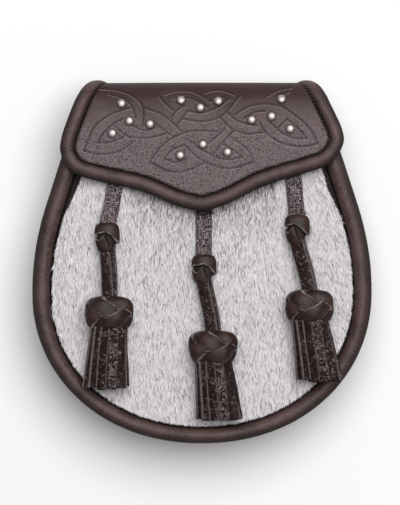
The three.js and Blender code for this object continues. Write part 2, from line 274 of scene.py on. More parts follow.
def at_stitches(along, pitch):
    """How close places along a seam are to a stitch: a cosine that is 1 at a stitch and 0 halfway between
    two."""
    return 0.5 + 0.5 * np.cos(along / pitch * 2 * math.pi)


def bearings(count):
    """Evenly spaced angles round a circle, in radians, the first of them half a step round."""
    return (np.arange(count) + 0.5) / count * 2 * math.pi


def soft_noise(seed, x, y=0.0):
    """Smooth random numbers from -1 to 1, at x and y given in cells: random values on a whole-number
    lattice, blended between the four corners of a cell with an S-curve."""
    x, y = np.broadcast_arrays(np.asarray(x, float), np.asarray(y, float))
    lattice = np.random.default_rng(seed).uniform(-1, 1, (256, 256))
    column, row = np.floor(x).astype(int), np.floor(y).astype(int)
    across, up = ease(x - column), ease(y - row)

    def corner(i, j):
        return lattice[(column + i) % 256, (row + j) % 256]

    low = corner(0, 0) * (1 - across) + corner(1, 0) * across
    high = corner(0, 1) * (1 - across) + corner(1, 1) * across
    return low * (1 - up) + high * up


def smooth_curve(points, steps=24):
    """A curve through the points, a cubic between every two neighbours. At a point its direction is the
    mean of the slopes on both sides, each weighted by the length of the other side."""
    points = np.asarray(points, float)
    span = np.linalg.norm(np.diff(points, axis=0), axis=1)[:, None]
    slope = np.diff(points, axis=0) / span
    middle = (slope[:-1] * span[1:] + slope[1:] * span[:-1]) / (span[1:] + span[:-1])
    direction = np.concatenate([slope[:1], middle, slope[-1:]])
    start, end = points[:-1, None], points[1:, None]
    leaving = (direction[:-1] * span)[:, None]
    arriving = (direction[1:] * span)[:, None]
    share = (np.arange(steps) / steps)[None, :, None]
    bend = 2 * (start - end) + leaving + arriving
    turn = 3 * (end - start) - 2 * leaving - arriving
    curve = start + share * (leaving + share * (turn + share * bend))
    return np.concatenate([curve.reshape(-1, points.shape[1]), points[-1:]])


def lengths(points):
    """Distance along a curve to each of its points."""
    steps = np.linalg.norm(np.diff(points, axis=0), axis=1)
    return np.concatenate([[0], np.cumsum(steps)])


def at(places, table, values):
    """Columns of values, given at the table's places, read off at other places by straight lines."""
    return np.stack([np.interp(places, table, column) for column in values.T], axis=-1)


def resample(points, count):
    """The curve again, with count points at even steps along it."""
    along = lengths(points)
    return at(np.linspace(0, along[-1], count), along, points)


def above(y, height):
    """Height of the piping's centre line at y, plus a height above it."""
    return FRONT_Z - LEAN * y + height


def raised(plan, height):
    """Places or directions in plan, given a height."""
    return np.concatenate([plan, np.broadcast_to(height, plan.shape[:-1])[..., None]], axis=-1)


def with_height(plan, height):
    """Places in plan, at a height above the piping's centre line."""
    return raised(plan, above(plan[..., 1], height))


# ---------------------------------------------------------------- shells


def shell(rings, finish=GRAIN, span=1):
    """A closed skin through rings of equally many points: quads between neighbouring rings, and at both
    ends rungs between the ring's first part and its second, which runs back beside the first. span is odd:
    how many columns of the first part lie beside one of the second. finish is one number, or one for each
    column of quads. Faces that point inwards all over are turned round."""
    rings = np.asarray(rings, float)
    rows, columns, _ = rings.shape
    i = np.arange(columns)
    first = np.arange(rows - 1)[:, None] * columns
    after = (i + 1) % columns
    sides = np.stack([first + i, first + after, first + after + columns, first + i + columns], axis=-1)
    finishes = np.broadcast_to(finish, (rows - 1, columns)).ravel()
    rung = np.arange((columns - 2) // (span + 1))
    near, back = rung * span, columns - 1 - rung
    fans = [np.stack([near + k, back, near + k + 2, near + k + 1], axis=-1) for k in range(0, span - 1, 2)]
    cap = np.concatenate([*fans, np.stack([near + span - 1, back, back - 1, near + span], axis=-1)])
    far_cap = cap[:, ::-1] + (rows - 1) * columns
    faces = np.concatenate([sides.reshape(-1, 4), cap, far_cap])
    cap_finish = finishes[:1] if np.ndim(finish) == 0 else [CUT]
    finishes = np.concatenate([finishes, np.repeat(cap_finish, 2 * len(cap))])
    points = rings.reshape(-1, 3)
    a, b, c, d = (points[faces[:, k]] for k in range(4))
    volume = np.sum(a * np.cross(b, c)) + np.sum(a * np.cross(c, d))
    return points, faces if volume > 0 else faces[:, ::-1], finishes


def join(shells):
    """Several shells as one."""
    starts = np.cumsum([0] + [len(points) for points, _, _ in shells])
    points = np.concatenate([points for points, _, _ in shells])
    faces = np.concatenate([faces + start for (_, faces, _), start in zip(shells, starts)])
    return points, faces, np.concatenate([finishes for _, _, finishes in shells])


def sweep(centre, across, up, section, finish=GRAIN):
    """A section carried along a line: each of its points is the centre, plus its first number along the
    across direction, plus its second along the up direction. section is one outline, or one a place."""
    section = np.broadcast_to(section, (len(centre), *np.shape(section)[-2:]))
    rings = centre[:, None] + across[:, None] * section[..., :1] + up[:, None] * section[..., 1:]
    return shell(rings, finish)


def round_section(width, thickness, sides):
    """Ellipses, one for each width and thickness: cosine and sine of evenly spaced angles."""
    angle = bearings(sides)
    x = np.multiply.outer(width / 2, np.cos(angle))
    z = np.multiply.outer(thickness / 2, np.sin(angle))
    return np.stack(np.broadcast_arrays(x, z), axis=-1)


def strip_section(width, thickness, crown, slant):
    """A strip's outline of 14 points: a grain side of 5 points, raised in the middle by a parabola, cut
    edges that slant outwards on the way down, and a flat flesh side of 5 points."""
    half, low = width / 2, -thickness / 2
    share = np.linspace(-1, 1, 5)
    grain_x = np.multiply.outer(half - slant, share)
    grain_z = thickness / 2 + crown * (1 - share**2)
    flesh_x = np.multiply.outer(half - 0.2, share[::-1])
    edge_x = half - 0.4 * slant
    x = np.concatenate(
        [
            np.stack([-edge_x], -1), grain_x, np.stack([edge_x, half - 0.05], -1),
            flesh_x, np.stack([0.05 - half], -1),
        ],
        axis=-1,
    )
    shoulder, foot = thickness * 0.15, low * 0.7
    z = np.concatenate([[shoulder], grain_z, [shoulder, foot], np.full(5, low), [foot]])
    return np.stack(np.broadcast_arrays(x, z), axis=-1)


STRIP_FINISH = np.array([CUT] + [GRAIN] * 4 + [CUT] * 9)


def ribbon(path, up, width, thickness, crown=0.12, slant=0.3, roll=0.0):
    """A leather strip carried along a path. Its across direction is square to the path and to up, and both
    are then turned about the path by roll degrees, which lifts its right edge."""
    path = np.asarray(path, float)
    along = unit(np.gradient(path, axis=0))
    across = unit(np.cross(np.broadcast_to(up, path.shape), along))
    normal = np.cross(along, across)
    turn = np.radians(np.broadcast_to(roll, len(path)))[:, None]
    lifted = across * np.cos(turn) + normal * np.sin(turn)
    normal = normal * np.cos(turn) - across * np.sin(turn)
    section = strip_section(np.broadcast_to(width, len(path)).astype(float), thickness, crown, slant)
    return sweep(path, lifted, normal, section, STRIP_FINISH)


def stitches(places, along, up, size):
    """A row of stitches: at each place a round thread along one direction, sunk at both ends. Its radius is
    the square root of 1 minus the fourth power of the share of its half length. along and up are one
    direction, or one for each place."""
    length, thickness = size["length"], size["thickness"]
    share = np.linspace(-1, 1, 7)
    radius = thickness / 2 * np.sqrt(np.maximum(0.02, 1 - share**4))
    angle = bearings(6)
    along, up = (unit(np.broadcast_to(direction, places.shape)) for direction in (along, up))
    across = np.cross(along, up)
    sunk = -0.35 * thickness * share**4
    line = places[:, None] + along[:, None] * (share * length / 2)[:, None] + up[:, None] * sunk[:, None]
    ring = radius[:, None] * np.stack([np.cos(angle), np.sin(angle)])[:, None]
    sideways = across[:, None, None] * ring[0][..., None]
    upwards = up[:, None, None] * ring[1][..., None]
    points = line[:, :, None] + sideways + upwards
    return join([shell(rings) for rings in points])


def show(name, skin, finishes, slot, *nodes, **values):
    """Makes a skin a visible piece with its materials, which rides on the body and stands for CAD nodes.
    values are numbers for each point that its materials read."""
    points, faces, finish_of = skin
    mesh = bpy.data.meshes.new(name)
    mesh.vertices.add(len(points))
    mesh.vertices.foreach_set("co", (points * MM).astype(np.float32).ravel())
    mesh.loops.add(faces.size)
    mesh.loops.foreach_set("vertex_index", faces.astype(np.int32).ravel())
    mesh.polygons.add(len(faces))
    mesh.polygons.foreach_set("loop_start", (np.arange(len(faces)) * faces.shape[1]).astype(np.int32))
    mesh.polygons.foreach_set("material_index", finish_of.astype(np.int32))
    mesh.polygons.foreach_set("use_smooth", np.ones(len(faces), bool))
    mesh.update(calc_edges=True)
    if mesh.validate():
        raise RuntimeError(f"{name} has faces that make no sense")
    for key, numbers in values.items():
        attribute = mesh.attributes.new(key, "FLOAT", "POINT")
        attribute.data.foreach_set("value", np.asarray(numbers, np.float32))
    for finish in finishes:
        mesh.materials.append(material(finish))
    piece = bpy.data.objects.new(name, mesh)
    bpy.context.scene.collection.objects.link(piece)
    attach(piece, "root")
    if nodes:
        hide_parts(*nodes)
    return piece


# ---------------------------------------------------------------- the body's edge


def body_edge():
    """The body's outline from its top right corner round the bottom to its top left: straight sides that
    curve out in a parabola to the widest line, and under it a superellipse."""
    y = np.linspace(TOP_Y, WIDEST_Y, 200)[:-1]
    curved = np.minimum(y - WIDEST_Y, SIDE_ARC_RISE)
    straight = y - WIDEST_Y - curved
    x = HALF_WIDTH - curved**2 / (2 * SIDE_RADIUS) - straight * SIDE_ARC_RISE / SIDE_RADIUS
    angle = np.linspace(0, math.pi / 2, 300)
    low_x = HALF_WIDTH * np.abs(np.cos(angle)) ** (2 / BOTTOM_POWER)
    low_y = WIDEST_Y - BOTTOM_DROP * np.sin(angle) ** (2 / BOTTOM_POWER)
    right = np.stack([np.concatenate([x, low_x]), np.concatenate([y, low_y])], axis=-1)
    return resample(np.concatenate([right, right[-2::-1] * (-1, 1)]), 2001)


EDGE = body_edge()
EDGE_SHARE = np.linspace(0, 1, len(EDGE))
EDGE_LENGTH = lengths(EDGE)[-1]
EDGE_ALONG = unit(np.gradient(EDGE, axis=0))
EDGE_INWARD = np.stack([EDGE_ALONG[:, 1], -EDGE_ALONG[:, 0]], axis=-1)


def inward(share):
    """The level direction into the body at a share of its edge."""
    return unit(at(share, EDGE_SHARE, EDGE_INWARD))


def on_edge(share, inset):
    """A place in plan at a share of the body's edge, moved in from it."""
    return at(share, EDGE_SHARE, EDGE) + inward(share) * np.asarray(inset)[..., None]


def edge_y(share):
    """The y of the body's edge at a share of it."""
    return at(share, EDGE_SHARE, EDGE)[:, 1]


def edge_seam(length):
    """Stitches spread evenly round the body's edge, as many as fit that length: each one's share of the
    edge, and the direction along the edge there."""
    count = int(length / SEAM_STITCH["pitch"])
    place = (np.arange(count) + 0.5) / count
    return place, raised(at(place, EDGE_SHARE, EDGE_ALONG), 0.0)


def piping_width(y):
    """The rolled border's width: constant down to the widest line, then falling evenly to the bottom."""
    return PIPING_SIDE + (PIPING_BOTTOM - PIPING_SIDE) * np.clip((WIDEST_Y - y) / BOTTOM_DROP, 0, 1)


UP = np.array([0.0, 0.0, 1.0])


def flanks(angle):
    """Painted shade round a rolled edge's section: a thin dark line at the seam and, on the outside, a broad
    dark band."""
    return 0.8 * np.clip(np.cos(angle), 0, 1) ** 6 + np.clip(-np.cos(angle), 0, 1)


def front_piping():
    """The rolled border: circles carried round the body's edge. Their radius sways by a hundredth or two,
    and its inner side is drawn in a little at every stitch."""
    steps, sides = 760, 28
    share = np.linspace(0, 1, steps)
    along = share * EDGE_LENGTH
    width = piping_width(edge_y(share))
    plan = on_edge(share, width / 2)
    across = raised(inward(share), -LEAN * inward(share)[:, 1])
    section = round_section(width, width, sides)
    angle = bearings(sides)
    sway = 0.012 * soft_noise(1, along / 23)[:, None] + 0.008 * soft_noise(2, along / 6, 3)[:, None]
    pull = 0.02 * round_bell(angle, 0.7) * at_stitches(along, BORDER_PITCH)[:, None]
    section = section * (1 + sway - pull)[..., None]
    centre = with_height(plan, 0)
    show("front_piping_rolled", sweep(centre, across, np.tile(UP, (steps, 1)), section),
         ["calf_leather"], "body_leather", "front_piping", flank=np.tile(flanks(angle), steps))


def gusset():
    """The side wall: its section's corner points, a hem at the rear, a pinched middle and a seam at the
    front, with the corners cut twice over to round them. Its middle sways in and out along it, and
    its front edge is pressed into the rolled border."""
    steps = 440
    share = np.linspace(0, 1, steps)
    y = edge_y(share)
    top = above(y, 0.7 - piping_width(y) / 2)
    rows = np.array(GUSSET_ROWS)
    ring = np.concatenate([rows[:, [0, 1, 2]], rows[::-1][:, [0, 1, 3]]])
    height = ring[:, 0] * top[:, None] + ring[:, 1]
    inset = np.broadcast_to(ring[:, 2], height.shape)
    for _ in range(2):
        height, inset = (
            np.stack([0.75 * v + 0.25 * np.roll(v, -1, 1), 0.25 * v + 0.75 * np.roll(v, -1, 1)], axis=-1)
            .reshape(steps, -1)
            for v in (height, inset)
        )
    along = share[:, None] * EDGE_LENGTH
    middle = np.sin(np.clip(height / top[:, None], 0, 1) * math.pi) ** 2
    sway = 0.7 * soft_noise(5, along / 17, height / 30) + 0.25 * soft_noise(6, along / 5, 2)
    inset = inset + middle * sway
    plan = on_edge(np.broadcast_to(share[:, None], inset.shape), inset)
    show("gusset_wall", shell(raised(plan, height)), ["calf_leather"], "body_leather", "gusset")

    place, along = edge_seam(EDGE_LENGTH)
    y = edge_y(place)
    wall_top = above(y, -piping_width(y) / 2 - GAP - 0.1)
    low = raised(on_edge(place, 2.95), 3.1)
    high = raised(on_edge(place, 5.05), wall_top - 2.4)
    out = raised(-inward(place), 0.0)
    rows = [stitches(line, along, out, SEAM_STITCH) for line in (low, high)]
    show("gusset_stitches", join(rows), ["waxed_thread"], None)


def slab(share, inset, under, over, top_y=None, rounding=0.7):
    """A plate that fills the body's edge, moved in: rows across it between the two sides, bunched towards
    the ends of each row. under and over give the height of its two faces from (x, y), and near its rim both
    come together by a quarter circle. top_y carries the sides on, straight, to a level top."""
    side = on_edge(share, inset)
    lean = np.abs(inward(share)[:, 0])
    if top_y is not None:
        extra = top_y - (top_y - side[0, 1]) * np.sin(np.linspace(0, math.pi / 2, 9))[:-1]
        extra_x = side[0, 0] - (extra - side[0, 1]) * SIDE_ARC_RISE / SIDE_RADIUS
        side = np.concatenate([np.stack([extra_x, extra], axis=-1), side])
        lean = np.concatenate([np.full(len(extra), lean[0]), lean])
    across = np.sin(np.linspace(-1, 1, 61) * math.pi / 2)
    x, y = np.broadcast_arrays(side[:, :1] * across, side[:, 1:])
    rim = (1 - np.abs(across)) * side[:, :1] * lean[:, None]
    if top_y is not None:
        rim = np.minimum(rim, top_y - y)
    rim = np.clip(rim / rounding, 0, 1)
    shrink = np.sqrt(1 - (1 - rim) ** 2)
    low, high = under(x, y), over(x, y)
    middle, half = (low + high) / 2, (high - low) / 2 * (0.25 + 0.75 * shrink)
    face = np.stack([x, y, middle + half], axis=-1)
    other = np.stack([x, y, middle - half], axis=-1)
    return shell(np.concatenate([face, other[:, ::-1]], axis=1))


def back_panel():
    """The back: a flat sheet, waved by a quarter of a millimetre, with a row of stitches inside its rim."""
    share = np.linspace(0, PANEL_END, 130)

    def face(level):
        return lambda x, y: level + 0.25 * soft_noise(8, x / 42, y / 42)

    sheet = slab(share, np.full(len(share), BACK_INSET), face(BACK_Z), face(BACK_Z + LEATHER), BACK_TOP_Y)
    show("back_panel_sheet", sheet, ["calf_leather"], "back_leather", "back_panel")
    place, along = edge_seam(EDGE_LENGTH * 0.93)
    plan = on_edge(place, BACK_INSET + 3.2)
    points = raised(plan, face(BACK_Z)(plan[:, 0], plan[:, 1]) - 0.12)
    show("back_panel_stitches", stitches(points, along, -UP, SEAM_STITCH), ["waxed_thread"], None)


def belt_loops():
    """The two belt loops: strips along Y whose two feet are sewn to the back and whose middle stands off
    it, with their bends softened by a bell-shaped running mean, and two rows of five stitches across each
    foot."""
    low, high, foot, slope = LOOP["low"], LOOP["high"], LOOP["foot"], LOOP["slope"]
    seat = BACK_Z - GAP - LOOP["leather"] / 2
    stand = LOOP["outer"] + LOOP["leather"] / 2
    outline = [
        (low, seat), (low + foot, seat), (low + foot + slope, stand),
        (high - foot - slope, stand), (high - foot, seat), (high, seat),
    ]
    line = resample(np.array(outline, float), 600)
    reach = 12
    blur = np.hanning(2 * reach + 1)
    blur = blur / blur.sum()
    padded = np.pad(line, ((reach, reach), (0, 0)), mode="edge")
    soft = np.stack([np.convolve(padded[:, k], blur, "valid") for k in range(2)], axis=-1)
    for side, x in (("left", -LOOP["x"]), ("right", LOOP["x"])):
        path = np.stack([np.full(len(soft), x), soft[:, 0], soft[:, 1]], axis=-1)[::3]
        strip = ribbon(path, -UP, LOOP["width"], LOOP["leather"], crown=0.0, slant=0.25)
        show(f"belt_loop_{side}", strip, ["calf_leather", "cut_edge"], "back_leather", f"strap_loop_{side}")
        thread_x = x + np.tile(LOOP_STITCH["pitch"] * np.arange(-2, 3), 4)
        thread_y = np.repeat([low + 1.3, low + 3.7, high - 3.7, high - 1.3], 5)
        places = raised(np.stack([thread_x, thread_y], axis=-1), seat - LOOP["leather"] / 2 - 0.1)
        rows = stitches(places, (1.0, 0.0, 0.0), -UP, LOOP_STITCH)
        show(f"belt_loop_{side}_stitches", rows, ["waxed_thread"], None)


# ---------------------------------------------------------------- hide and hair


def panel_half_width(y):
    """Half the hide's width at y, read off its outline's right side."""
    share = np.linspace(0, 0.5, 600)
    side = on_edge(share, piping_width(edge_y(share)) + GAP)
    return np.interp(-y, -side[:, 1], side[:, 0], right=0)


def skin_height(x, y, height):
    """The hide's level: the piping's centre line, plus a dome that is a parabola across the hide and falls
    with the fourth power of y."""
    across = np.clip(x / np.maximum(panel_half_width(y), 1), -1, 1)
    return above(y, height + HIDE_SWELL * (1 - across**2) * (1 - (y / HALF_WIDTH) ** 4))


def past_seam(x, y):
    """How far a place lies outside the hide's seam, and the radius of the piping there, read off the
    seam by the place's bearing from a point near the pouch's middle."""
    share = np.linspace(0, 1, 1600)
    width = piping_width(edge_y(share))
    seam = on_edge(share, width + GAP)
    bearing = np.arctan2(seam[:, 0], PLAN_MIDDLE_Y - seam[:, 1])
    reach = np.hypot(seam[:, 0], seam[:, 1] - PLAN_MIDDLE_Y)
    facing = -np.sum(inward(share) * (seam - (0, PLAN_MIDDLE_Y)), axis=1) / reach
    table = np.stack([reach, facing, width / 2], axis=-1)[::-1]
    found = at(np.arctan2(x, PLAN_MIDDLE_Y - y), bearing[::-1], table)
    return (np.hypot(x, y - PLAN_MIDDLE_Y) - found[..., 0]) * found[..., 1], found[..., 2]


def seam_margin(y):
    """Width of the bare strip between the seam and the first hairs, which is painted dark as a welt and as
    shade: wider up under the flap, and a little wider at the bottom."""
    return 0.9 + 2.4 * ease((y - 22) / 24) + 0.8 * ease((-30 - y) / 30)


def hide_skin():
    """The hide's skin: a domed slab under the coat."""
    share = np.linspace(0, PANEL_END, 160)
    inset = piping_width(edge_y(share)) + GAP
    skin = slab(share, inset, lambda x, y: above(y, SKIN_UNDER), lambda x, y: skin_height(x, y, SKIN_TOP))
    points = skin[0]
    # Dark along the seam: a welt, and painted shade.
    welt = ease(1 + (past_seam(points[:, 0], points[:, 1])[0] + seam_margin(points[:, 1])) / 1.2)
    show("hide_skin", skin, ["hide_skin"], "hair_hide", "front_panel", welt=welt)


def below_flap(x, y):
    """How far places lie below the flap's lower edge."""
    edge = flap_edge(0.0)
    return np.interp(np.abs(x), edge[:, 0], edge[:, 1]) - y


def hair_roots(draw, count):
    """Where that many hairs grow: scattered evenly inside the bare welt, and 14 mm up under the flap. More
    than enough are drawn, over a box round the hide."""
    drawn = int(count * 1.9)
    x, y = draw.uniform(*HAIR_BOX["x"], drawn), draw.uniform(*HAIR_BOX["y"], drawn)
    inside = past_seam(x, y)[0] < -seam_margin(y)
    inside &= below_flap(x, y) > -14
    return x[inside][:count], y[inside][:count]


def hair_shade(draw, x, y, guard):
    """Each hair's shade, from 0 to 1: noise drawn out along the hairs, guard hairs darker or paler than the
    rest, and painted shadow, darker towards the flap's edge."""
    shade = 0.81 + 0.13 * soft_noise(14, x / 0.5, y / 2) + 0.04 * soft_noise(15, x / 10, y / 16)
    shade = shade + draw.normal(0, 0.22, len(x))
    shade = shade + guard * np.where(draw.uniform(0, 1, len(x)) < 0.42, -0.42, 0.3)
    # Darker towards the flap's edge: painted shadow.
    painted_shade_term = 0.56 * np.exp(-np.clip(below_flap(x, y) + 3, 0, 90) / 11)
    return np.clip(shade - painted_shade_term, 0, 0.999)


def show_hair(name, points, column, share, side):
    """Makes one piece of the coat: three triangles a hair. Its texture coordinates put each hair in the
    column of its shade, root at the bottom and tip at the top."""
    first = np.arange(len(points))[:, None] * len(share)
    faces = np.concatenate([first + triangle for triangle in ([0, 1, 2], [1, 3, 2], [2, 3, 4])], axis=1)
    faces = faces.reshape(-1, 3)
    skin = (points.reshape(-1, 3), faces, np.zeros(len(faces)))
    shades = np.repeat((column + 0.5) / SHADES, len(share))
    tips = np.tile(share, len(points))
    piece = show(name, skin, ["goat_hair"], "hair_hide", shade=shades, tip=tips)
    u = (column[:, None] + 0.5 + 0.4 * side) / SHADES
    v = np.broadcast_to(share, u.shape)
    corners = np.stack([u.ravel(), v.ravel()], axis=-1)[faces.ravel()]
    layer = piece.data.uv_layers.new(name="OFBake")
    layer.data.foreach_set("uv", corners.astype(np.float32).ravel())


def hair(settings):
    """The coat. A hair runs down the pouch, fanned outwards near the top and turned by slow and by quick
    noise. It climbs from the skin as 1 minus the square of what is left of it, bends sideways with the
    square of its length, and tapers to a point. Past the seam it lies on the piping's round. About one in
    six is a guard hair, which lies higher."""
    draw = np.random.default_rng(settings.hair_seed)
    x, y = hair_roots(draw, settings.hair_count)
    count = len(x)

    fan = (6 + 14 * ease((x + 40) / 110)) * (x / 90) * np.clip((y + 75) / 80, 0, 1)
    heading = fan + 5 * soft_noise(11, x / 16, y / 22) + 5 * soft_noise(12, x / 2.2, y / 5)
    heading = np.radians(heading + draw.normal(0, 10, count))
    direction = np.stack([np.sin(heading), -np.cos(heading)], axis=-1)
    length = settings.hair_length / MM * draw.uniform(0.7, 1.25, count)
    tip = np.stack([x, y], axis=-1) + direction * length[:, None]
    allowed = draw.uniform(-0.9, 0.2, count) - 2.4 * ease((y - 22) / 24)
    allowed -= 0.9 * np.abs(soft_noise(16, x / 0.9, y / 0.9)) * ease((-10 - y) / 36)
    over = np.maximum(past_seam(tip[:, 0], tip[:, 1])[0] - allowed, 0)
    out = np.maximum(np.sum(unit(np.stack([x, y - PLAN_MIDDLE_Y], axis=-1)) * direction, axis=1), 0.3)
    length = np.maximum(length - over / out, 1.2)

    share = np.array([0, 0, 0.5, 0.5, 1])
    side = np.array([-1, 1, -0.85, 0.85, 0])
    half_width = settings.hair_width / MM / 2 * draw.uniform(0.7, 1.3, count)
    bend = draw.normal(0, 0.1, count) + 0.08 * soft_noise(13, x / 6, y / 9)
    square = np.stack([-direction[:, 1], direction[:, 0]], axis=-1)
    reach = length[:, None, None] * share[:, None]
    plan = np.stack([x, y], axis=-1)[:, None] + direction[:, None] * reach
    sideways = (bend * length)[:, None] * share**2 + half_width[:, None] * side
    plan = plan + square[:, None] * sideways[..., None]
    guard = draw.uniform(0, 1, count) < GUARD_SHARE
    climb = (draw.uniform(0.4, 1.5, count) + 0.7 * guard)[:, None] * (1 - (1 - share) ** 2)
    tilt = draw.uniform(-0.55, 0.55, count)[:, None] * half_width[:, None] * side
    level = skin_height(plan[..., 0], plan[..., 1], SKIN_TOP + 0.1) + climb + tilt
    past, radius = past_seam(plan[..., 0], plan[..., 1])
    on_round = np.sqrt(np.maximum(radius**2 - (radius - np.clip(past, 0, radius)) ** 2, 0))
    level = np.where(past > 0, np.maximum(level, above(plan[..., 1], on_round + 0.25)), level)

    column = np.floor(hair_shade(draw, x, y, guard) * SHADES)
    points = raised(plan, level)
    show_hair("hide_hair_left", points[x < 0], column[x < 0], share, side)
    show_hair("hide_hair_right", points[x >= 0], column[x >= 0], share, side)


# ---------------------------------------------------------------- flap


def flap_profile():
    """The flap's section, evenly stepped: y, z and q, up the front, over half an ellipse and down inside
    the back, and the direction along it."""
    top = above(FOLD_Y, FLAP_LIFT)
    angle = np.linspace(math.pi / 2, -math.pi / 2, 500)
    fold_y = FOLD_Y + FOLD_REACH * np.cos(angle)
    fold_z = (top + TAIL_Z) / 2 + (top - TAIL_Z) / 2 * np.sin(angle)
    y = np.concatenate([[FLAP_TIP], fold_y, [TAIL_Y]])
    z = np.concatenate([[above(FLAP_TIP, FLAP_LIFT)], fold_z, [TAIL_Z]])
    line = resample(np.stack([y, z], axis=-1), 2400)
    return line, FLAP_TIP + lengths(line), unit(np.gradient(line, axis=0))


PROFILE, PROFILE_Q, PROFILE_ALONG = flap_profile()
TAIL_Q = PROFILE_Q[-1]
FOLD_LENGTH = TAIL_Q - (FOLD_Y - TAIL_Y) - (FLAP_TIP + math.hypot(1, LEAN) * (FOLD_Y - FLAP_TIP))


def skewed(x, q):
    """q, lowered on one side and raised on the other, fading out towards the fold."""
    return q + FLAP_SKEW * x * np.clip((FOLD_Y - q) / FLAP_SKEW_FADE, 0, 1)


def on_flap(x, q, height=0.0):
    """Places on the flap from x and q on the flat sheet and a height above its middle, and the directions
    out of the leather there."""
    place = at(q, PROFILE_Q, PROFILE)
    along = at(q, PROFILE_Q, PROFILE_ALONG)
    normal = np.stack([np.zeros_like(q), -along[..., 1], along[..., 0]], axis=-1)
    point = np.concatenate([np.broadcast_to(x, np.shape(q))[..., None], place], axis=-1)
    return point + normal * np.asarray(height)[..., None], normal


def binding_width(q):
    """The flap's rolled edge: narrow along the bottom, wider up the sides."""
    share = np.clip((q - BINDING["widens_from"]) / (BINDING["widens_to"] - BINDING["widens_from"]), 0, 1)
    return BINDING["lower"] + (BINDING["side"] - BINDING["lower"]) * share


def flap_outline():
    """Right half of the flap's flat outline: a curve through its drooping point, an arc round its corner,
    and a side that turns softly from upright to a taper."""
    x, q, radius = FLAP_CORNER["x"], FLAP_CORNER["q"], FLAP_CORNER["radius"]
    angle = np.linspace(math.radians(FLAP_CORNER["start"]), -0.15, 7)
    arc = np.stack([x + radius * np.cos(angle), q + radius * np.sin(angle)], axis=-1)
    side_q = np.linspace(arc[-1, 1], TAIL_Q, 13)[1:]
    past = side_q - FLAP_TAPER_Q
    side_x = FLAP_HALF_WIDTH - FLAP_TAPER * (past + np.hypot(past, FLAP_TAPER_SOFTNESS)) / 2
    low = [(-10, 30.7), (0, FLAP_TIP), (10, 30.7), (34, 41)]
    points = np.concatenate([low, arc, np.stack([side_x, side_q], axis=-1)])
    return resample(smooth_curve(points, 60)[60:], 2000)


FLAP_OUTLINE = flap_outline()
FLAP_ALONG = unit(np.gradient(FLAP_OUTLINE, axis=0))
FLAP_ALONG[0] = (1, 0)
FLAP_REACH = lengths(FLAP_OUTLINE)
FLAP_INWARD = np.stack([-FLAP_ALONG[:, 1], FLAP_ALONG[:, 0]], axis=-1)


def flap_edge(inset):
    """Right half of the flap's flat outline, moved in from its edge."""
    return FLAP_OUTLINE + FLAP_INWARD * np.reshape(inset, (-1, 1))


def distance_to_lines(x, y, lines, block=40):
    """Distance from each place to the nearest of the lines' closely spaced points, a block of rows at
    a time."""
    dots = np.concatenate([resample(smooth_curve(line), max(8, int(lengths(np.array(line))[-1] / 0.3)))
                           for line in lines])
    nearest = np.empty(x.shape)
    for start in range(0, len(x), block):
        rows = slice(start, start + block)
        dx = x[rows, :, None] - dots[:, 0]
        dy = y[rows, :, None] - dots[:, 1]
        nearest[rows] = np.sqrt((dx * dx + dy * dy).min(axis=-1))
    return nearest


def flap_grid(rim):
    """Where the flap's points lie on the flat sheet: the q of each row, closest where it is tooled, from
    the drooping point to the sewn end, each row's half width, and the columns as shares of it, closest
    near the sides."""
    first, tooled_from, tooled_to = rim[0, 1] + 0.35, 47.5, 104.0
    q_rows = np.concatenate(
        [
            np.linspace(first, tooled_from, 24)[:-1],
            np.linspace(tooled_from, tooled_to, 118)[:-1],
            np.linspace(tooled_to, rim[-1, 1], 22),
        ]
    )
    bunching = 0.55 * math.pi / 2
    across = np.sin(np.linspace(-1, 1, 321) * bunching) / math.sin(bunching)
    across = np.sign(across) * np.abs(across) ** 0.93
    return q_rows, np.interp(q_rows, rim[:, 1], rim[:, 0]), across


def tooling(plan, q_rows):
    """What the interlace's tool has done at each place: how far it lies in a line's groove, on the groove's
    wide shoulder and on the low ridge beside it, and how strongly the line's lower lip is painted light
    there, as a highlight."""
    lines = [line for knot in INTERLACE.values() for line in knot]
    rows = slice(*np.searchsorted(q_rows, TOOLED))
    distance = np.full(plan.shape[:2], 99.0)
    distance[rows] = distance_to_lines(plan[rows, :, 0], plan[rows, :, 1], lines)
    below = np.clip(-np.gradient(distance, axis=0) / 0.3, 0, 1)
    groove, shoulder = bell(distance, GROOVE["width"]), bell(distance, SHOULDER["width"])
    ridge = bell(distance - RIDGE["off"], RIDGE["width"])
    return groove, shoulder, ridge, bell(distance - LIP_HIGHLIGHT["off"], LIP_HIGHLIGHT["width"]) * below


def stud_dents(plan):
    """A shallow ring round each stud, where it presses the leather."""
    studs = np.array(STUD_PLACES)
    centres, _ = on_flap(studs[:, 0], studs[:, 1])
    nearest = np.full(plan.shape[:2], 99.0)
    for spot in centres:
        nearest = np.minimum(nearest, np.hypot(plan[..., 0] - spot[0], plan[..., 1] - spot[1]))
    return bell(nearest - STUD_RADIUS, STUD_DENT["width"])


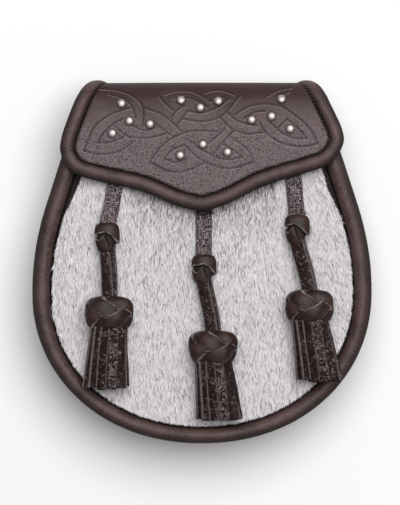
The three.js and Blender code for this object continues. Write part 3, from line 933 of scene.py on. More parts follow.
def flap():
    """The flap's sheet. Its face is lowered along the tooled lines, dented round each stud, and drawn down
    to the binding's seam, where every stitch pulls a notch. Its rim is tucked into the binding, and its
    underside has one column for five of the face's. The tooling mark is above zero in a groove, which is
    painted as shade, and below zero along its lower lip, which is painted light as a highlight. The seam mark
    is painted as shade along the seam and round each stud."""
    tucked, span = 0.8, 5
    rim = flap_edge(binding_width(FLAP_OUTLINE[:, 1]) + GAP - tucked)
    q_rows, half, across = flap_grid(rim)
    x = half[:, None] * across
    flat_q = np.broadcast_to(q_rows[:, None], x.shape)
    q = skewed(x, flat_q)
    plan, _ = on_flap(x, q)

    groove, shoulder, ridge, lip_highlight = tooling(plan, q_rows)
    lean = np.interp(q_rows, rim[:, 1], FLAP_ALONG[:, 1])
    to_rim = (1 - np.abs(across)) * half[:, None] * lean[:, None]
    reach = np.interp(flat_q, rim[:, 1], FLAP_REACH) * np.sign(across)
    pull = at_stitches(reach, FLAP_STITCH["pitch"])
    seam = bell(np.maximum(to_rim - tucked, 0), 0.6 + 0.6 * pull)
    dent = stud_dents(plan) * (flat_q < 110)
    wave = 0.18 * soft_noise(21, x / 26, flat_q / 26)
    fold = bell(flat_q - FOLD_Y - 14, 12)

    top = LEATHER / 2 + wave + 0.5 * fold - GROOVE["depth"] * groove
    top = top - SHOULDER["depth"] * shoulder + RIDGE["height"] * ridge
    top = top - SEAM_DEPTH * seam - STUD_DENT["depth"] * dent
    under = np.minimum(-LEATHER / 2 + wave, top - 0.5)
    face, _ = on_flap(x, q, top)
    back, _ = on_flap(x, q, under)
    back = back[:, ::-span]
    rings = np.concatenate([face, back], axis=1)
    finish = np.concatenate([np.full(x.shape[1] - 1, GRAIN), np.full(back.shape[1] + 1, CUT)])
    plain = np.zeros(back.shape[:2])
    # tooling: painted shade in the grooves and a painted highlight on the lower lips; seam: painted shade at
    # the seam and round the studs
    marks = {"tooling": groove + 0.2 * shoulder - 0.6 * lip_highlight, "seam": seam + 0.35 * dent}
    marks = {key: np.concatenate([mark, plain], axis=1).ravel() for key, mark in marks.items()}
    show("flap_tooled", shell(rings, finish, span), ["side_leather", "flesh_side"],
         "tooled_leather", "flap", **marks)


def flap_binding():
    """The flap's rolled edge: ellipses carried along its outline, drawn in by the stitches on the seam
    side, with a soft ridge and a few creases round the corners. And its stitches, slanted over the seam."""
    last_q = FOLD_Y * math.hypot(1, LEAN) + BINDING["end"] * FOLD_LENGTH
    last = np.interp(last_q, FLAP_OUTLINE[:, 1], FLAP_REACH)
    steps, sides = 820, 26
    reach = np.linspace(-last, last, steps)

    def on_outline(reach, inset_of_width, height):
        flat = at(np.abs(reach), FLAP_REACH, FLAP_OUTLINE)
        into = at(np.abs(reach), FLAP_REACH, FLAP_INWARD)
        width = binding_width(flat[:, 1])
        place = flat + into * (inset_of_width(width))[:, None]
        x = np.sign(reach) * place[:, 0]
        point, normal = on_flap(x, skewed(x, place[:, 1]), np.full(len(x), height))
        return point, normal, width

    centre, normal, width = on_outline(reach, lambda width: width / 2, 0.0)
    along = unit(np.gradient(centre, axis=0))
    across = unit(np.cross(normal, along))
    angle = bearings(sides)
    section = round_section(width, np.full(steps, BINDING["thickness"]), sides)
    pull = 0.07 * round_bell(angle - 0.35, 0.5) * at_stitches(reach, FLAP_STITCH["pitch"])[:, None]
    creases = 0.012 * soft_noise(32, reach[:, None] / 4 + 60, angle * 1.5)
    sway = 0.014 * soft_noise(31, reach / 19 + 40)[:, None] + creases
    ridge = 0.03 * bell(angle - 1.05, 0.28)
    section = section * (1 + sway - pull + ridge)[..., None]
    show("flap_binding_rolled", sweep(centre, across, normal, section),
         ["calf_leather"], "body_leather", "flap_binding", flank=np.tile(flanks(angle), steps))

    count = int(2 * last / FLAP_STITCH["pitch"])
    middle = (np.arange(count) - (count - 1) / 2) * FLAP_STITCH["pitch"]
    middle = middle[np.abs(middle) < last - 3]
    place, out, _ = on_outline(middle, lambda width: width + GAP + 0.35, 0.9)
    ahead, _, _ = on_outline(middle + 0.2, lambda width: width + GAP + 0.35, 0.9)
    along = unit(ahead - place)
    slanted = unit(np.cross(out, along)) + 0.45 * along
    show("flap_stitches", stitches(place, slanted, out, FLAP_STITCH), ["waxed_thread"], None)


def studs():
    """The studs: domes with a small upright rim, their outline turned about the flap's normal."""
    places = np.array(STUD_PLACES)
    centre, normal = on_flap(places[:, 0], places[:, 1], np.full(len(places), LEATHER / 2 + GAP - 0.35))
    angle = np.linspace(0, math.pi / 2, 12)
    radius = np.concatenate([[STUD_RADIUS - 0.3, STUD_RADIUS - 0.08], STUD_RADIUS * np.cos(angle)])
    height = np.concatenate([[0, 0.12], STUD_RIM + (STUD_HEIGHT - STUD_RIM) * np.sin(angle)])
    radius[-1] = 0.02
    turn = bearings(32)
    shells = []
    for spot, out in zip(centre, normal):
        side = np.array([1.0, 0, 0])
        ahead = np.cross(out, side)
        ring = side * np.cos(turn)[:, None] + ahead * np.sin(turn)[:, None]
        shells.append(shell(spot + radius[:, None, None] * ring + height[:, None, None] * out))
    nodes = [f"stud_{i + 1:02d}" for i in range(len(places))]
    show("studs_domed", join(shells), ["nickel_plate"], "nickel", *nodes)


# ---------------------------------------------------------------- tassels


def straps(name, spec):
    """One tassel's strap. Above the knot it is one flat thong, its pebbles painted light as glints, and
    painted dark just below the flap as its shadow. Below it is two plies: an upper one that is turned a
    little so that its right cut edge shows, and one under it that stands out on the right."""
    knot, head, top = spec["knot"], spec["head"], spec["top"]
    knot_top = knot[1] + KNOT["length"] / 2 - 1.2
    knot_end = knot[1] - KNOT["length"] / 2 + 2.2
    head_top = head[1] + HEAD["length"] / 2 - 1.6
    knot_level = REST + KNOT["depth"] / 2
    rows = [
        (*top, REST + 0.85),
        (knot[0] + (top[0] - knot[0]) * 0.5, (top[1] + knot_top) / 2 + 4, REST + 0.75),
        (knot[0] + (top[0] - knot[0]) * 0.22, knot_top + 9, REST + 0.9),
        (knot[0], knot_top, knot_level - 0.2),
    ]
    line = resample(smooth_curve(rows), 150)
    path = with_height(line[:, :2], line[:, 2])
    width = STRAP_WIDTH + 0.25 * soft_noise(41, line[:, 1] / 7, spec["turn"])
    upper = ribbon(path, UP, width, thickness=1.5)
    # Near the flap the glints fade to dark: painted shadow under the flap.
    shown = np.clip(below_flap(upper[0][:, 0], upper[0][:, 1]), 0, 60)
    show(f"{name}_strap_upper_thong", upper, ["pebbled_thong", "cut_edge"],
         "thong_leather", f"{name}_strap_upper", worn=spec["worn"] - 4 * np.exp(-shown / 2.2))

    share = np.linspace(0, 1, 130)
    y = knot_end + (head_top - knot_end) * share
    bow = 0.5 * np.sin(share * math.pi)
    x = knot[0] + (head[0] - knot[0]) * (0.6 * share + 0.4 * ease(share)) + bow
    level = knot_level + (REST + HEAD["depth"] / 2 - knot_level) * share + 0.3
    reveal = spec["reveal"][0] + (spec["reveal"][1] - spec["reveal"][0]) * share
    left = x - STRAP_WIDTH / 2
    ply_width = STRAP_WIDTH - reveal
    plan = np.stack([left + ply_width / 2, y], axis=-1)
    front = ribbon(with_height(plan, level + 0.45), UP, ply_width, 1.25, crown=0.15, slant=0.75, roll=12)
    plan = np.stack([left + STRAP_WIDTH / 2 + 0.3, y], axis=-1)
    path = with_height(plan, level - 0.95)
    rear = ribbon(path, UP, STRAP_WIDTH - 0.4, 1.15, crown=0.0, slant=0.8, roll=5)
    plies = join([front, rear])
    show(f"{name}_strap_lower_plies", plies, ["pebbled_thong", "cut_edge"],
         "thong_leather", f"{name}_strap_lower", worn=np.full(len(plies[0]), -0.15))


def barrel(centre, size, base_loss, height, steps, rows):
    """A barrel along Y: ellipses whose size is the square root of 1 minus that end's loss times the square
    of the share of the half length, or at the upper end, which is squarer, its fourth power. Both ends are
    rounded off. height(turn, place) is a table of how far each point stands out from the barrel sunk by
    base_loss, where turn is the bearing round it in degrees and place is the distance along Y in
    millimetres. Returns its skin and the marks that height gives."""
    turn = (np.arange(steps) + 0.5) / steps * 360
    share = np.linspace(-1, 1, rows)
    place = share * size["length"] / 2
    stand, marks = height(turn[None, :], place[:, None])
    end = np.sqrt(np.maximum(0, 1 - np.clip((np.abs(share) - 0.86) / 0.14, 0, 1) ** 2))[:, None]
    loss = np.where(share < 0, size["low_end"], size["ends"])
    scale = np.sqrt(1 - loss * np.abs(share) ** np.where(share < 0, 2, 4))[:, None]
    angle = np.radians(turn)
    half_x = size["width"] / 2 * scale - base_loss + stand
    half_z = size["depth"] / 2 * scale - base_loss + stand
    closing = 0.55 + 0.45 * end
    x = centre[0] + half_x * closing * np.cos(angle)
    z = REST + size["depth"] / 2 + half_z * closing * np.sin(angle)
    y = np.broadcast_to(centre[1] + place[:, None], x.shape)
    rings = np.stack([x, y, above(y, z)], axis=-1)
    middle = rings.mean(axis=1, keepdims=True)
    inner = [middle[k] + (rings[k] - middle[k]) * 0.12 for k in (0, -1)]
    rings = np.concatenate([inner[:1], rings, inner[1:]])
    marks = {key: np.concatenate([mark[:1], mark, mark[-1:]]).ravel() for key, mark in marks.items()}
    return shell(rings), marks


def band(distance, half_width, lift, thickness):
    """One wrapped band's height over its barrel, and how much of its cut edge shows: crowned like a
    parabola, with edges that fall within 0.3 mm."""
    share = np.abs(distance) / half_width
    edge = np.clip((half_width - np.abs(distance)) / 0.3, 0, 1)
    height = (lift + thickness * (1 - 0.18 * share**2)) * edge
    cut = bell(half_width - 0.4 - np.abs(distance), 0.36) * (edge > 0)
    return height, cut


def tassel_head(name, spec):
    """A woven knot: one band led three times round a barrel, its centre line a sine of four thirds of the
    bearing. It rises and sinks twice as often, so that it goes over and under where it crosses itself."""
    rise, radius, thickness, lift = 6.2, 11.2, 1.5, 1.2

    def weave(turn, place):
        highest = np.zeros(np.broadcast_shapes(turn.shape, place.shape))
        edge = np.zeros_like(highest)
        for lap in range(3):
            phase = np.radians((turn + 360 * lap) * 4 / 3 - 109 + spec["turn"] * 1.6)
            slope = rise * 4 / 3 / radius * np.cos(phase)
            distance = (place - rise * np.sin(phase)) / np.hypot(1, slope)
            distance = distance + 0.25 * soft_noise(50 + lap, turn / 12, place / 4)
            height, cut = band(distance, 4.5, lift + lift * np.sin(2 * phase), thickness)
            over = height > highest
            highest, edge = np.where(over, height, highest), np.where(over, cut, edge)
        # deep: where the wraps lie low, painted dark as shade
        return highest, {"cut": edge, "deep": np.clip(1.15 - highest / 2.2, 0, 1)}

    skin, marks = barrel(spec["head"], HEAD, base_loss=3.4, height=weave, steps=240, rows=80)
    show(f"{name}_head_woven", skin, ["wrapped_leather"], "knot_leather", f"{name}_tassel_head", **marks)


def strap_knot(name, spec):
    """An overhand knot in the strap: a wrap over its upper part whose lower cut edge arches up and then
    runs down to the right, and under it a wrap on the left whose upper edge is a hollow curl."""

    def wraps(turn, place):
        turn = np.mod(turn + spec["turn"] * 1.3, 360) + 0 * place
        arch = np.interp(turn, [0, 25, 50, 75, 97, 112, 130, 180, 240, 300, 360],
                         [-3.6, -3.2, -1.4, 1.4, 2.7, 2.5, 1.9, 1.7, 0.4, -2.4, -3.6])
        cup = np.interp(turn, [98, 112, 128, 146, 163, 180, 200, 250, 270],
                        [2.4, 0.9, -0.9, -1.5, -0.7, 0.7, 0.9, -0.6, -2.0], right=-20)
        sway = 0.15 * soft_noise(61, turn / 16, place / 3)
        upper = np.clip((place - arch) / 0.4 + sway, 0, 1)
        upper_cut = bell(place - arch - 0.55, 0.38)
        inner = 94 + 4.5 * np.minimum(place - 1, 0)
        left = np.clip((cup - place) / 0.4, 0, 1) * ease((turn - inner) / 16) * ease((262 - turn) / 20)
        left_cut = bell(cup - place - 0.5, 0.36) * left
        highest = np.maximum(2.15 * upper, 1.75 * left)
        # Low under the upper wrap's arch: painted dark as shade.
        deep = np.where(upper > 0.2, 0, 1 - left) * np.exp(-np.maximum(arch - place, 0) / 5)
        return highest, {"cut": np.where(upper > 0, upper_cut, left_cut), "deep": deep}

    skin, marks = barrel(spec["knot"], KNOT, base_loss=2.1, height=wraps, steps=168, rows=76)
    show(f"{name}_knot_wrapped", skin, ["wrapped_leather"], "knot_leather", f"{name}_strap_knot", **marks)


def fringe(name, spec):
    """The cut fringe: strips of one width side by side round an ellipse, from under the head to the hem.
    Each is turned off the ellipse's surface so that its right edge lies on its neighbour, and its cut edge
    shows. They sway, and end a little unevenly."""
    count, width, thickness = 12, 5.5, 1.35
    head, hem = spec["head"], spec["hem"]
    head_end = head[1] - HEAD["length"] / 2 + 1.5
    head_level = REST + HEAD["depth"] / 2
    share = np.linspace(0, 1, 44)
    draw = np.random.default_rng(70 + int(abs(head[0])))
    shells, worn = [], []
    for k in range(count):
        angle = math.radians(90 - 15 - (k + 0.1) * 360 / count)
        wide = FRINGE["top_width"] / 2 + (FRINGE["hem_width"] - FRINGE["top_width"]) / 2 * share - 1.6
        deep = (FRINGE["top_depth"] + (FRINGE["hem_depth"] - FRINGE["top_depth"]) * share) / 2 - 0.9
        middle = head_level + (FRINGE["under"] + FRINGE["hem_depth"] / 2 - head_level) * share
        sway = draw.uniform(-0.35, 0.35) * np.sin(share * math.pi * draw.uniform(0.8, 1.6))
        x = head[0] + (hem[0] - head[0]) * share + wide * math.cos(angle) + sway
        end = hem[1] + draw.uniform(0, 1.3) + 1.2 * abs(math.cos(angle))
        y = head_end + (end - head_end) * share
        level = middle + deep * math.sin(angle)
        slope = np.degrees(np.arctan2(deep * math.cos(angle), wide * math.sin(angle)))
        facing = -slope if math.sin(angle) > 0 else 180 - slope
        path = with_height(np.stack([x, y], axis=-1), level)
        strip = ribbon(path, UP, width, thickness, roll=facing + 15)
        shells.append(strip)
        # How strongly each strip's pebbles are painted light as glints; the first strip's most.
        worn.append(np.full(len(strip[0]), 0.5 if k == 0 else draw.uniform(-0.3, 0.0)))
    show(f"{name}_fringe_strips", join(shells), ["pebbled_thong", "cut_edge"],
         "thong_leather", f"{name}_tassel_fringe", worn=np.concatenate(worn))


# ---------------------------------------------------------------- materials


def node(tree, kind, inputs=None, **settings):
    """Adds a shader node, makes its settings, and gives its inputs a value or links them to an output.
    Returns the node's outputs."""
    made = tree.nodes.new("ShaderNode" + kind)
    for name, value in settings.items():
        setattr(made, name, value)
    for name, value in (inputs or {}).items():
        if isinstance(value, bpy.types.NodeSocket):
            tree.links.new(value, made.inputs[name])
        else:
            made.inputs[name].default_value = value
    return made.outputs


def per(millimetres):
    """Scale of a pattern whose cells are that wide, for coordinates in metres."""
    return 1 / (millimetres * MM)


def calf_leather(tree, settings):
    """Drum-dyed calf, glazed on the grain side: an even brown-black with slow cloudy changes, a fine
    grain and faint creases, and a soft broad shine. Rolled edges are painted darker on their flanks, as
    shade, and are duller there."""
    place = node(tree, "TexCoord")["Object"]
    cloud = node(tree, "TexNoise", {"Vector": place, "Scale": per(13), "Detail": 3.0, "Roughness": 0.6})[0]
    grain = node(tree, "TexNoise", {"Vector": place, "Scale": per(1.1), "Detail": 4.0, "Roughness": 0.65})[0]
    crease = node(tree, "TexVoronoi", {"Vector": place, "Scale": per(2.2), "Randomness": 1.0},
                  feature="DISTANCE_TO_EDGE")[0]
    worn = node(tree, "MapRange", {"Value": cloud, "From Min": 0.35, "From Max": 0.7})[0]
    colour = node(tree, "Mix", {MIX_FACTOR: worn, MIX_A: linear("33201e"),
                                MIX_B: tuple(settings.body_colour)}, data_type="RGBA")[MIX_RESULT]
    speck = node(tree, "MapRange", {"Value": grain, "From Min": 0.5, "From Max": 0.7, "To Max": 0.5})[0]
    # This mark darkens a rolled edge's flanks towards near black: painted shade.
    flank = node(tree, "Attribute", attribute_name="flank")["Fac"]
    for share, tint in ((speck, linear("725f5c")), (flank, linear("0b0303"))):
        colour = node(tree, "Mix", {MIX_FACTOR: share, MIX_A: colour, MIX_B: tint},
                      data_type="RGBA")[MIX_RESULT]
    gloss = node(tree, "MapRange", {"Value": grain, "To Min": 0.45, "To Max": 0.6})[0]
    gloss = node(tree, "Math", {0: flank, 1: 0.3, 2: gloss}, operation="MULTIPLY_ADD")[0]
    fold = node(tree, "MapRange", {"Value": crease, "From Max": 0.12})[0]
    bump = node(tree, "Bump", {"Height": fold, "Strength": 0.35, "Distance": 0.06 * MM})[0]
    bump = node(tree, "Bump", {"Height": grain, "Strength": 0.7, "Distance": 0.25 * MM, "Normal": bump})[0]
    return {"Base Color": colour, "Roughness": gloss, "Normal": bump, "Specular IOR Level": 0.4}


def side_leather(tree, settings):
    """Vegetable-tanned side leather, tooled by hand, dyed and left matt: open pores show as dark specks, the
    tooled lines are painted dark in their grooves as shade, with a painted highlight along each line's lower
    lip, the seam and the ring round each stud are painted dark as shade, and towards the fold it is smoother
    and painted darker, as shade where the flap turns over. Its pores are laid out over x and y alone. They
    are drawn at 0.85 mm, coarser than real ones, so that they show."""
    place = node(tree, "TexCoord")["Object"]
    apart = node(tree, "SeparateXYZ", {"Vector": place})
    # This noise wobbles where the flap turns darker near the fold: painted shade.
    painted_shade_term = node(tree, "TexNoise", {"Vector": place, "Scale": per(22), "Detail": 3.0})[0]
    edge = node(tree, "Math", {0: painted_shade_term, 1: 0.02, 2: apart["Y"]}, operation="MULTIPLY_ADD")[0]
    open_grain_below_fold_shade = node(tree, "MapRange", {"Value": edge, "From Min": 0.080, "From Max": 0.106, "To Min": 1.0,
                                         "To Max": 0.02}, interpolation_type="SMOOTHSTEP")[0]
    pore = node(tree, "TexVoronoi", {"Vector": place, "Scale": per(0.85)}, voronoi_dimensions="2D")
    pick = node(tree, "SeparateColor", {"Color": pore["Color"]})["Red"]
    size = node(tree, "MapRange", {"Value": pick, "From Min": 0.15, "To Min": 0.05, "To Max": 0.4})[0]
    pit = node(tree, "Math", {0: size, 1: pore["Distance"]}, operation="SUBTRACT")[0]
    pit = node(tree, "MapRange", {"Value": pit, "From Min": -0.04, "From Max": 0.16})[0]
    pit = node(tree, "Math", {0: pit, 1: open_grain_below_fold_shade}, operation="MULTIPLY")[0]
    grain = node(tree, "TexNoise", {"Vector": place, "Scale": per(1.0), "Detail": 4.0, "Roughness": 0.7})[0]
    light = node(tree, "MapRange", {"Value": grain, "From Min": 0.35, "From Max": 0.6})[0]
    light = node(tree, "Math", {0: light, 1: open_grain_below_fold_shade}, operation="MULTIPLY")[0]
    # Towards the fold the colour goes dark: painted shade where the flap turns over, over smoother grain.
    colour = node(tree, "Mix", {MIX_FACTOR: open_grain_below_fold_shade, MIX_A: linear("301917"), MIX_B: linear("5e4b4d")},
                  data_type="RGBA")[MIX_RESULT]
    mark = node(tree, "Attribute", attribute_name="tooling")["Fac"]
    # Darker along the tooled grooves: painted shade.
    painted_groove_shade = node(tree, "MapRange", {"Value": mark, "From Min": 0.3, "From Max": 1.0, "To Max": 0.65})[0]
    # Lighter along each line's lower lip: a painted highlight.
    painted_lip_highlight = node(tree, "MapRange", {"Value": mark, "From Min": -0.02, "From Max": -0.4, "To Max": 0.62})[0]
    seam = node(tree, "Attribute", attribute_name="seam")["Fac"]
    # Dark at the binding's seam and round each stud: painted shade.
    painted_seam_shade = node(tree, "MapRange", {"Value": seam, "From Min": 0.1, "From Max": 0.7})[0]
    layers = (
        (light, tuple(settings.tooled_colour)),
        (pit, linear("231616")),
        (painted_groove_shade, linear("170e0e")),
        (painted_lip_highlight, linear("8d7e80")),
        (painted_seam_shade, linear("0b0505")),
    )
    for share, tint in layers:
        colour = node(tree, "Mix", {MIX_FACTOR: share, MIX_A: colour, MIX_B: tint},
                      data_type="RGBA")[MIX_RESULT]
    gloss = node(tree, "MapRange", {"Value": open_grain_below_fold_shade, "To Min": 0.64, "To Max": 0.5})[0]
    gloss = node(tree, "Math", {0: painted_seam_shade, 1: 0.4, 2: gloss}, operation="MULTIPLY_ADD")[0]
    height = node(tree, "Math", {0: pit, 1: -1.5, 2: grain}, operation="MULTIPLY_ADD")[0]
    relief = node(tree, "Math", {0: open_grain_below_fold_shade, 1: 0.8, 2: 0.2}, operation="MULTIPLY_ADD")[0]
    bump = node(tree, "Bump", {"Height": height, "Strength": relief, "Distance": 0.3 * MM})[0]
    return {"Base Color": colour, "Roughness": gloss, "Normal": bump, "Specular IOR Level": 0.35}


def pebbled_thong(tree, settings):
    """Cow thong with a pebbled, glazed grain: nearly black, painted darker between the pebbles as shade in
    the creases, with small shiny lumps whose tops are painted lighter as glints. The pebbles are about 1.2 mm
    wide."""
    place = node(tree, "TexCoord")["Object"]
    warp = node(tree, "TexNoise", {"Vector": place, "Scale": per(1.2), "Detail": 2.0})["Color"]
    moved = node(tree, "Mix", {MIX_FACTOR: 0.0016, MIX_A: place, MIX_B: warp}, data_type="RGBA",
                 blend_type="ADD")[MIX_RESULT]
    cell = node(tree, "TexVoronoi", {"Vector": moved, "Scale": per(1.2)}, feature="DISTANCE_TO_EDGE")[0]
    shade = node(tree, "TexVoronoi", {"Vector": moved, "Scale": per(1.2)})["Color"]
    patch = node(tree, "TexNoise", {"Vector": place, "Scale": per(6), "Detail": 2.0})[0]
    grain = node(tree, "TexNoise", {"Vector": place, "Scale": per(0.6), "Detail": 3.0})[0]
    painted_light_amount = node(tree, "Attribute", attribute_name="worn")["Fac"]
    lump = node(tree, "MapRange", {"Value": cell, "From Min": 0.02, "From Max": 0.17},
                interpolation_type="SMOOTHSTEP")[0]
    pick = node(tree, "SeparateColor", {"Color": shade})["Red"]
    pick = node(tree, "Math", {0: patch, 1: 0.9, 2: pick}, operation="MULTIPLY_ADD")[0]
    pick = node(tree, "Math", {0: painted_light_amount, 1: 0.75, 2: pick}, operation="MULTIPLY_ADD")[0]
    worn = node(tree, "MapRange", {"Value": pick, "From Min": 0.95, "From Max": 1.75})[0]
    worn = node(tree, "Math", {0: worn, 1: lump}, operation="MULTIPLY")[0]
    # Dark between the pebbles: painted shade in the creases.
    colour = node(tree, "Mix", {MIX_FACTOR: lump, MIX_A: linear("170907"),
                                MIX_B: tuple(settings.thong_colour)}, data_type="RGBA")[MIX_RESULT]
    # Lighter on the pebbles' tops: painted glints.
    colour = node(tree, "Mix", {MIX_FACTOR: worn, MIX_A: colour, MIX_B: linear("8f8082")},
                  data_type="RGBA")[MIX_RESULT]
    gloss = node(tree, "MapRange", {"Value": lump, "To Min": 0.6, "To Max": 0.3})[0]
    bump = node(tree, "Bump", {"Height": lump, "Strength": 1.0, "Distance": 0.5 * MM})[0]
    bump = node(tree, "Bump", {"Height": grain, "Strength": 0.3, "Distance": 0.15 * MM, "Normal": bump})[0]
    return {"Base Color": colour, "Roughness": gloss, "Normal": bump, "Specular IOR Level": 0.22}


def wrapped_leather(tree, settings):
    """Smooth calf lace, wrapped tight: dark and softly shining, with pale fibrous cut edges, some wear, and
    painted darker as shade where it lies deep between the wraps."""
    place = node(tree, "TexCoord")["Object"]
    cloud = node(tree, "TexNoise", {"Vector": place, "Scale": per(4), "Detail": 3.0})[0]
    grain = node(tree, "TexNoise", {"Vector": place, "Scale": per(0.8), "Detail": 4.0, "Roughness": 0.65})[0]
    worn = node(tree, "MapRange", {"Value": cloud, "From Min": 0.4, "From Max": 0.68})[0]
    colour = node(tree, "Mix", {MIX_FACTOR: worn, MIX_A: linear("1f0d0a"),
                                MIX_B: tuple(settings.knot_colour)}, data_type="RGBA")[MIX_RESULT]
    deep = node(tree, "Attribute", attribute_name="deep")["Fac"]
    cut = node(tree, "Attribute", attribute_name="cut")["Fac"]
    raw = node(tree, "MapRange", {"Value": cut, "From Min": 0.35, "From Max": 0.85})[0]
    pale = node(tree, "Mix", {MIX_FACTOR: worn, MIX_A: linear("564a49"), MIX_B: linear("9a8e8d")},
                data_type="RGBA")[MIX_RESULT]
    for share, tint in ((deep, linear("0d0606")), (raw, pale)):
        colour = node(tree, "Mix", {MIX_FACTOR: share, MIX_A: colour, MIX_B: tint},
                      data_type="RGBA")[MIX_RESULT]
    gloss = node(tree, "MapRange", {"Value": raw, "To Min": 0.5, "To Max": 0.8})[0]
    gloss = node(tree, "Math", {0: deep, 1: 0.3, 2: gloss}, operation="MULTIPLY_ADD")[0]
    bump = node(tree, "Bump", {"Height": grain, "Strength": 0.6, "Distance": 0.25 * MM})[0]
    return {"Base Color": colour, "Roughness": gloss, "Normal": bump, "Specular IOR Level": 0.36}


def cut_edge(tree, settings):
    """The cut edge of dyed leather: paler than its grain side, fibrous and matt."""
    place = node(tree, "TexCoord")["Object"]
    fibre = node(tree, "TexNoise", {"Vector": place, "Scale": per(0.7), "Detail": 4.0, "Roughness": 0.7})[0]
    shade = node(tree, "MapRange", {"Value": fibre, "From Min": 0.4, "From Max": 0.75})[0]
    colour = node(tree, "Mix", {MIX_FACTOR: shade, MIX_A: linear("382b29"),
                                MIX_B: tuple(settings.cut_colour)}, data_type="RGBA")[MIX_RESULT]
    bump = node(tree, "Bump", {"Height": fibre, "Strength": 0.6, "Distance": 0.2 * MM})[0]
    return {"Base Color": colour, "Roughness": 0.82, "Normal": bump}


def flesh_side(tree, settings):
    """The flesh side of the flap's leather: a short suede nap, matt and uneven."""
    place = node(tree, "TexCoord")["Object"]
    nap = node(tree, "TexNoise", {"Vector": place, "Scale": per(1.2), "Detail": 5.0, "Roughness": 0.75})[0]
    shade = node(tree, "MapRange", {"Value": nap, "From Min": 0.3, "From Max": 0.7})[0]
    colour = node(tree, "Mix", {MIX_FACTOR: shade, MIX_A: linear("2b2221"), MIX_B: linear("4a3e3c")},
                  data_type="RGBA")[MIX_RESULT]
    bump = node(tree, "Bump", {"Height": nap, "Strength": 0.7, "Distance": 0.3 * MM})[0]
    return {"Base Color": colour, "Roughness": 0.9, "Normal": bump, "Sheen Weight": 0.3}


def waxed_thread(tree, settings):
    """Waxed linen thread, black-brown and slightly glossy, with the twist of its strands."""
    place = node(tree, "TexCoord")["Object"]
    strand = node(tree, "TexWave", {"Vector": place, "Scale": per(3.2), "Distortion": 1.0})["Fac"]
    colour = node(tree, "Mix", {MIX_FACTOR: strand, MIX_A: linear("120b0b"), MIX_B: linear("351b17")},
                  data_type="RGBA")[MIX_RESULT]
    bump = node(tree, "Bump", {"Height": strand, "Strength": 0.5, "Distance": 0.1 * MM})[0]
    return {"Base Color": colour, "Roughness": 0.5, "Normal": bump}


def hide_skin_finish(tree, settings):
    """The skin under the coat: grey and matt, and painted dark along the bare strip at its seam, as a welt
    and as shade.
    """
    place = node(tree, "TexCoord")["Object"]
    spots = node(tree, "TexNoise", {"Vector": place, "Scale": per(3), "Detail": 3.0})[0]
    colour = node(tree, "Mix", {MIX_FACTOR: spots, MIX_A: linear("7d7577"), MIX_B: linear("a9a1a4")},
                  data_type="RGBA")[MIX_RESULT]
    welt = node(tree, "Attribute", attribute_name="welt")["Fac"]
    colour = node(tree, "Mix", {MIX_FACTOR: welt, MIX_A: colour, MIX_B: linear("150c0c")},
                  data_type="RGBA")[MIX_RESULT]
    return {"Base Color": colour, "Roughness": 0.9}


def goat_hair(tree, settings):
    """Short dense pale-grey hair: each hair has its own shade, painted darker at the root as shade between
    the hairs and painted near black as shadow in its darkest shades, with a soft shine.
    """
    shade = node(tree, "Attribute", attribute_name="shade")["Fac"]
    tip = node(tree, "Attribute", attribute_name="tip")["Fac"]
    tone = node(tree, "MapRange", {"Value": shade, "From Min": 0.1, "From Max": 0.85})[0]
    colour = node(tree, "Mix", {MIX_FACTOR: tone, MIX_A: tuple(settings.dark_hair),
                                MIX_B: tuple(settings.pale_hair)}, data_type="RGBA")[MIX_RESULT]
    # The darkest shades go near black: painted shadow under the flap's edge.
    painted_shade_term = node(tree, "MapRange", {"Value": shade, "From Min": 0.14, "From Max": 0.0})[0]
    # Darker towards the root: painted shade between the hairs.
    root = node(tree, "MapRange", {"Value": tip, "From Max": 0.6, "To Min": 0.55, "To Max": 0.0})[0]
    for share, tint in ((painted_shade_term, linear("2a1f20")), (root, linear("756c6f"))):
        colour = node(tree, "Mix", {MIX_FACTOR: share, MIX_A: colour, MIX_B: tint},
                      data_type="RGBA")[MIX_RESULT]
    return {"Base Color": colour, "Roughness": 0.55}


def nickel_plate(tree, settings):
    """Nickel plate over a pressed steel dome, worn: slightly warm, with a hazy, spread shine."""
    place = node(tree, "TexCoord")["Object"]
    haze = node(tree, "TexNoise", {"Vector": place, "Scale": per(1.5), "Detail": 3.0})[0]
    colour = node(tree, "Mix", {MIX_FACTOR: haze, MIX_A: linear("a69d9b"), MIX_B: linear("bfb7b7")},
                  data_type="RGBA")[MIX_RESULT]
    gloss = node(tree, "MapRange", {"Value": haze, "To Min": 0.42, "To Max": 0.54})[0]
    return {"Base Color": colour, "Roughness": gloss, "Metallic": 1.0}


def studio_floor(tree, settings):
    """A pale painted floor, matt."""
    place = node(tree, "TexCoord")["Object"]
    cloud = node(tree, "TexNoise", {"Vector": place, "Scale": per(400)})[0]
    colour = node(tree, "Mix", {MIX_FACTOR: cloud, MIX_A: linear("f4f3f3"), MIX_B: linear("f8f7f7")},
                  data_type="RGBA")[MIX_RESULT]
    return {"Base Color": colour, "Roughness": 0.9}


# Each finish's function takes a node tree and the settings, and returns the surface's inputs
FINISHES = {
    "calf_leather": calf_leather,
    "side_leather": side_leather,
    "pebbled_thong": pebbled_thong,
    "wrapped_leather": wrapped_leather,
    "cut_edge": cut_edge,
    "flesh_side": flesh_side,
    "waxed_thread": waxed_thread,
    "hide_skin": hide_skin_finish,
    "goat_hair": goat_hair,
    "nickel_plate": nickel_plate,
    "studio_floor": studio_floor,
}


def material(name):
    """The material of that name, made the first time it is asked for. The names differ from those of the
    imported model's own materials."""
    made = bpy.data.materials.get(name)
    if made is None:
        made = bpy.data.materials.new(name)
        made.use_nodes = True
        tree = made.node_tree
        tree.nodes.clear()
        surface = node(tree, "BsdfPrincipled", FINISHES[name](tree, bpy.context.scene.sporran))[0]
        node(tree, "OutputMaterial", {"Surface": surface})
    return made


# ---------------------------------------------------------------- stage


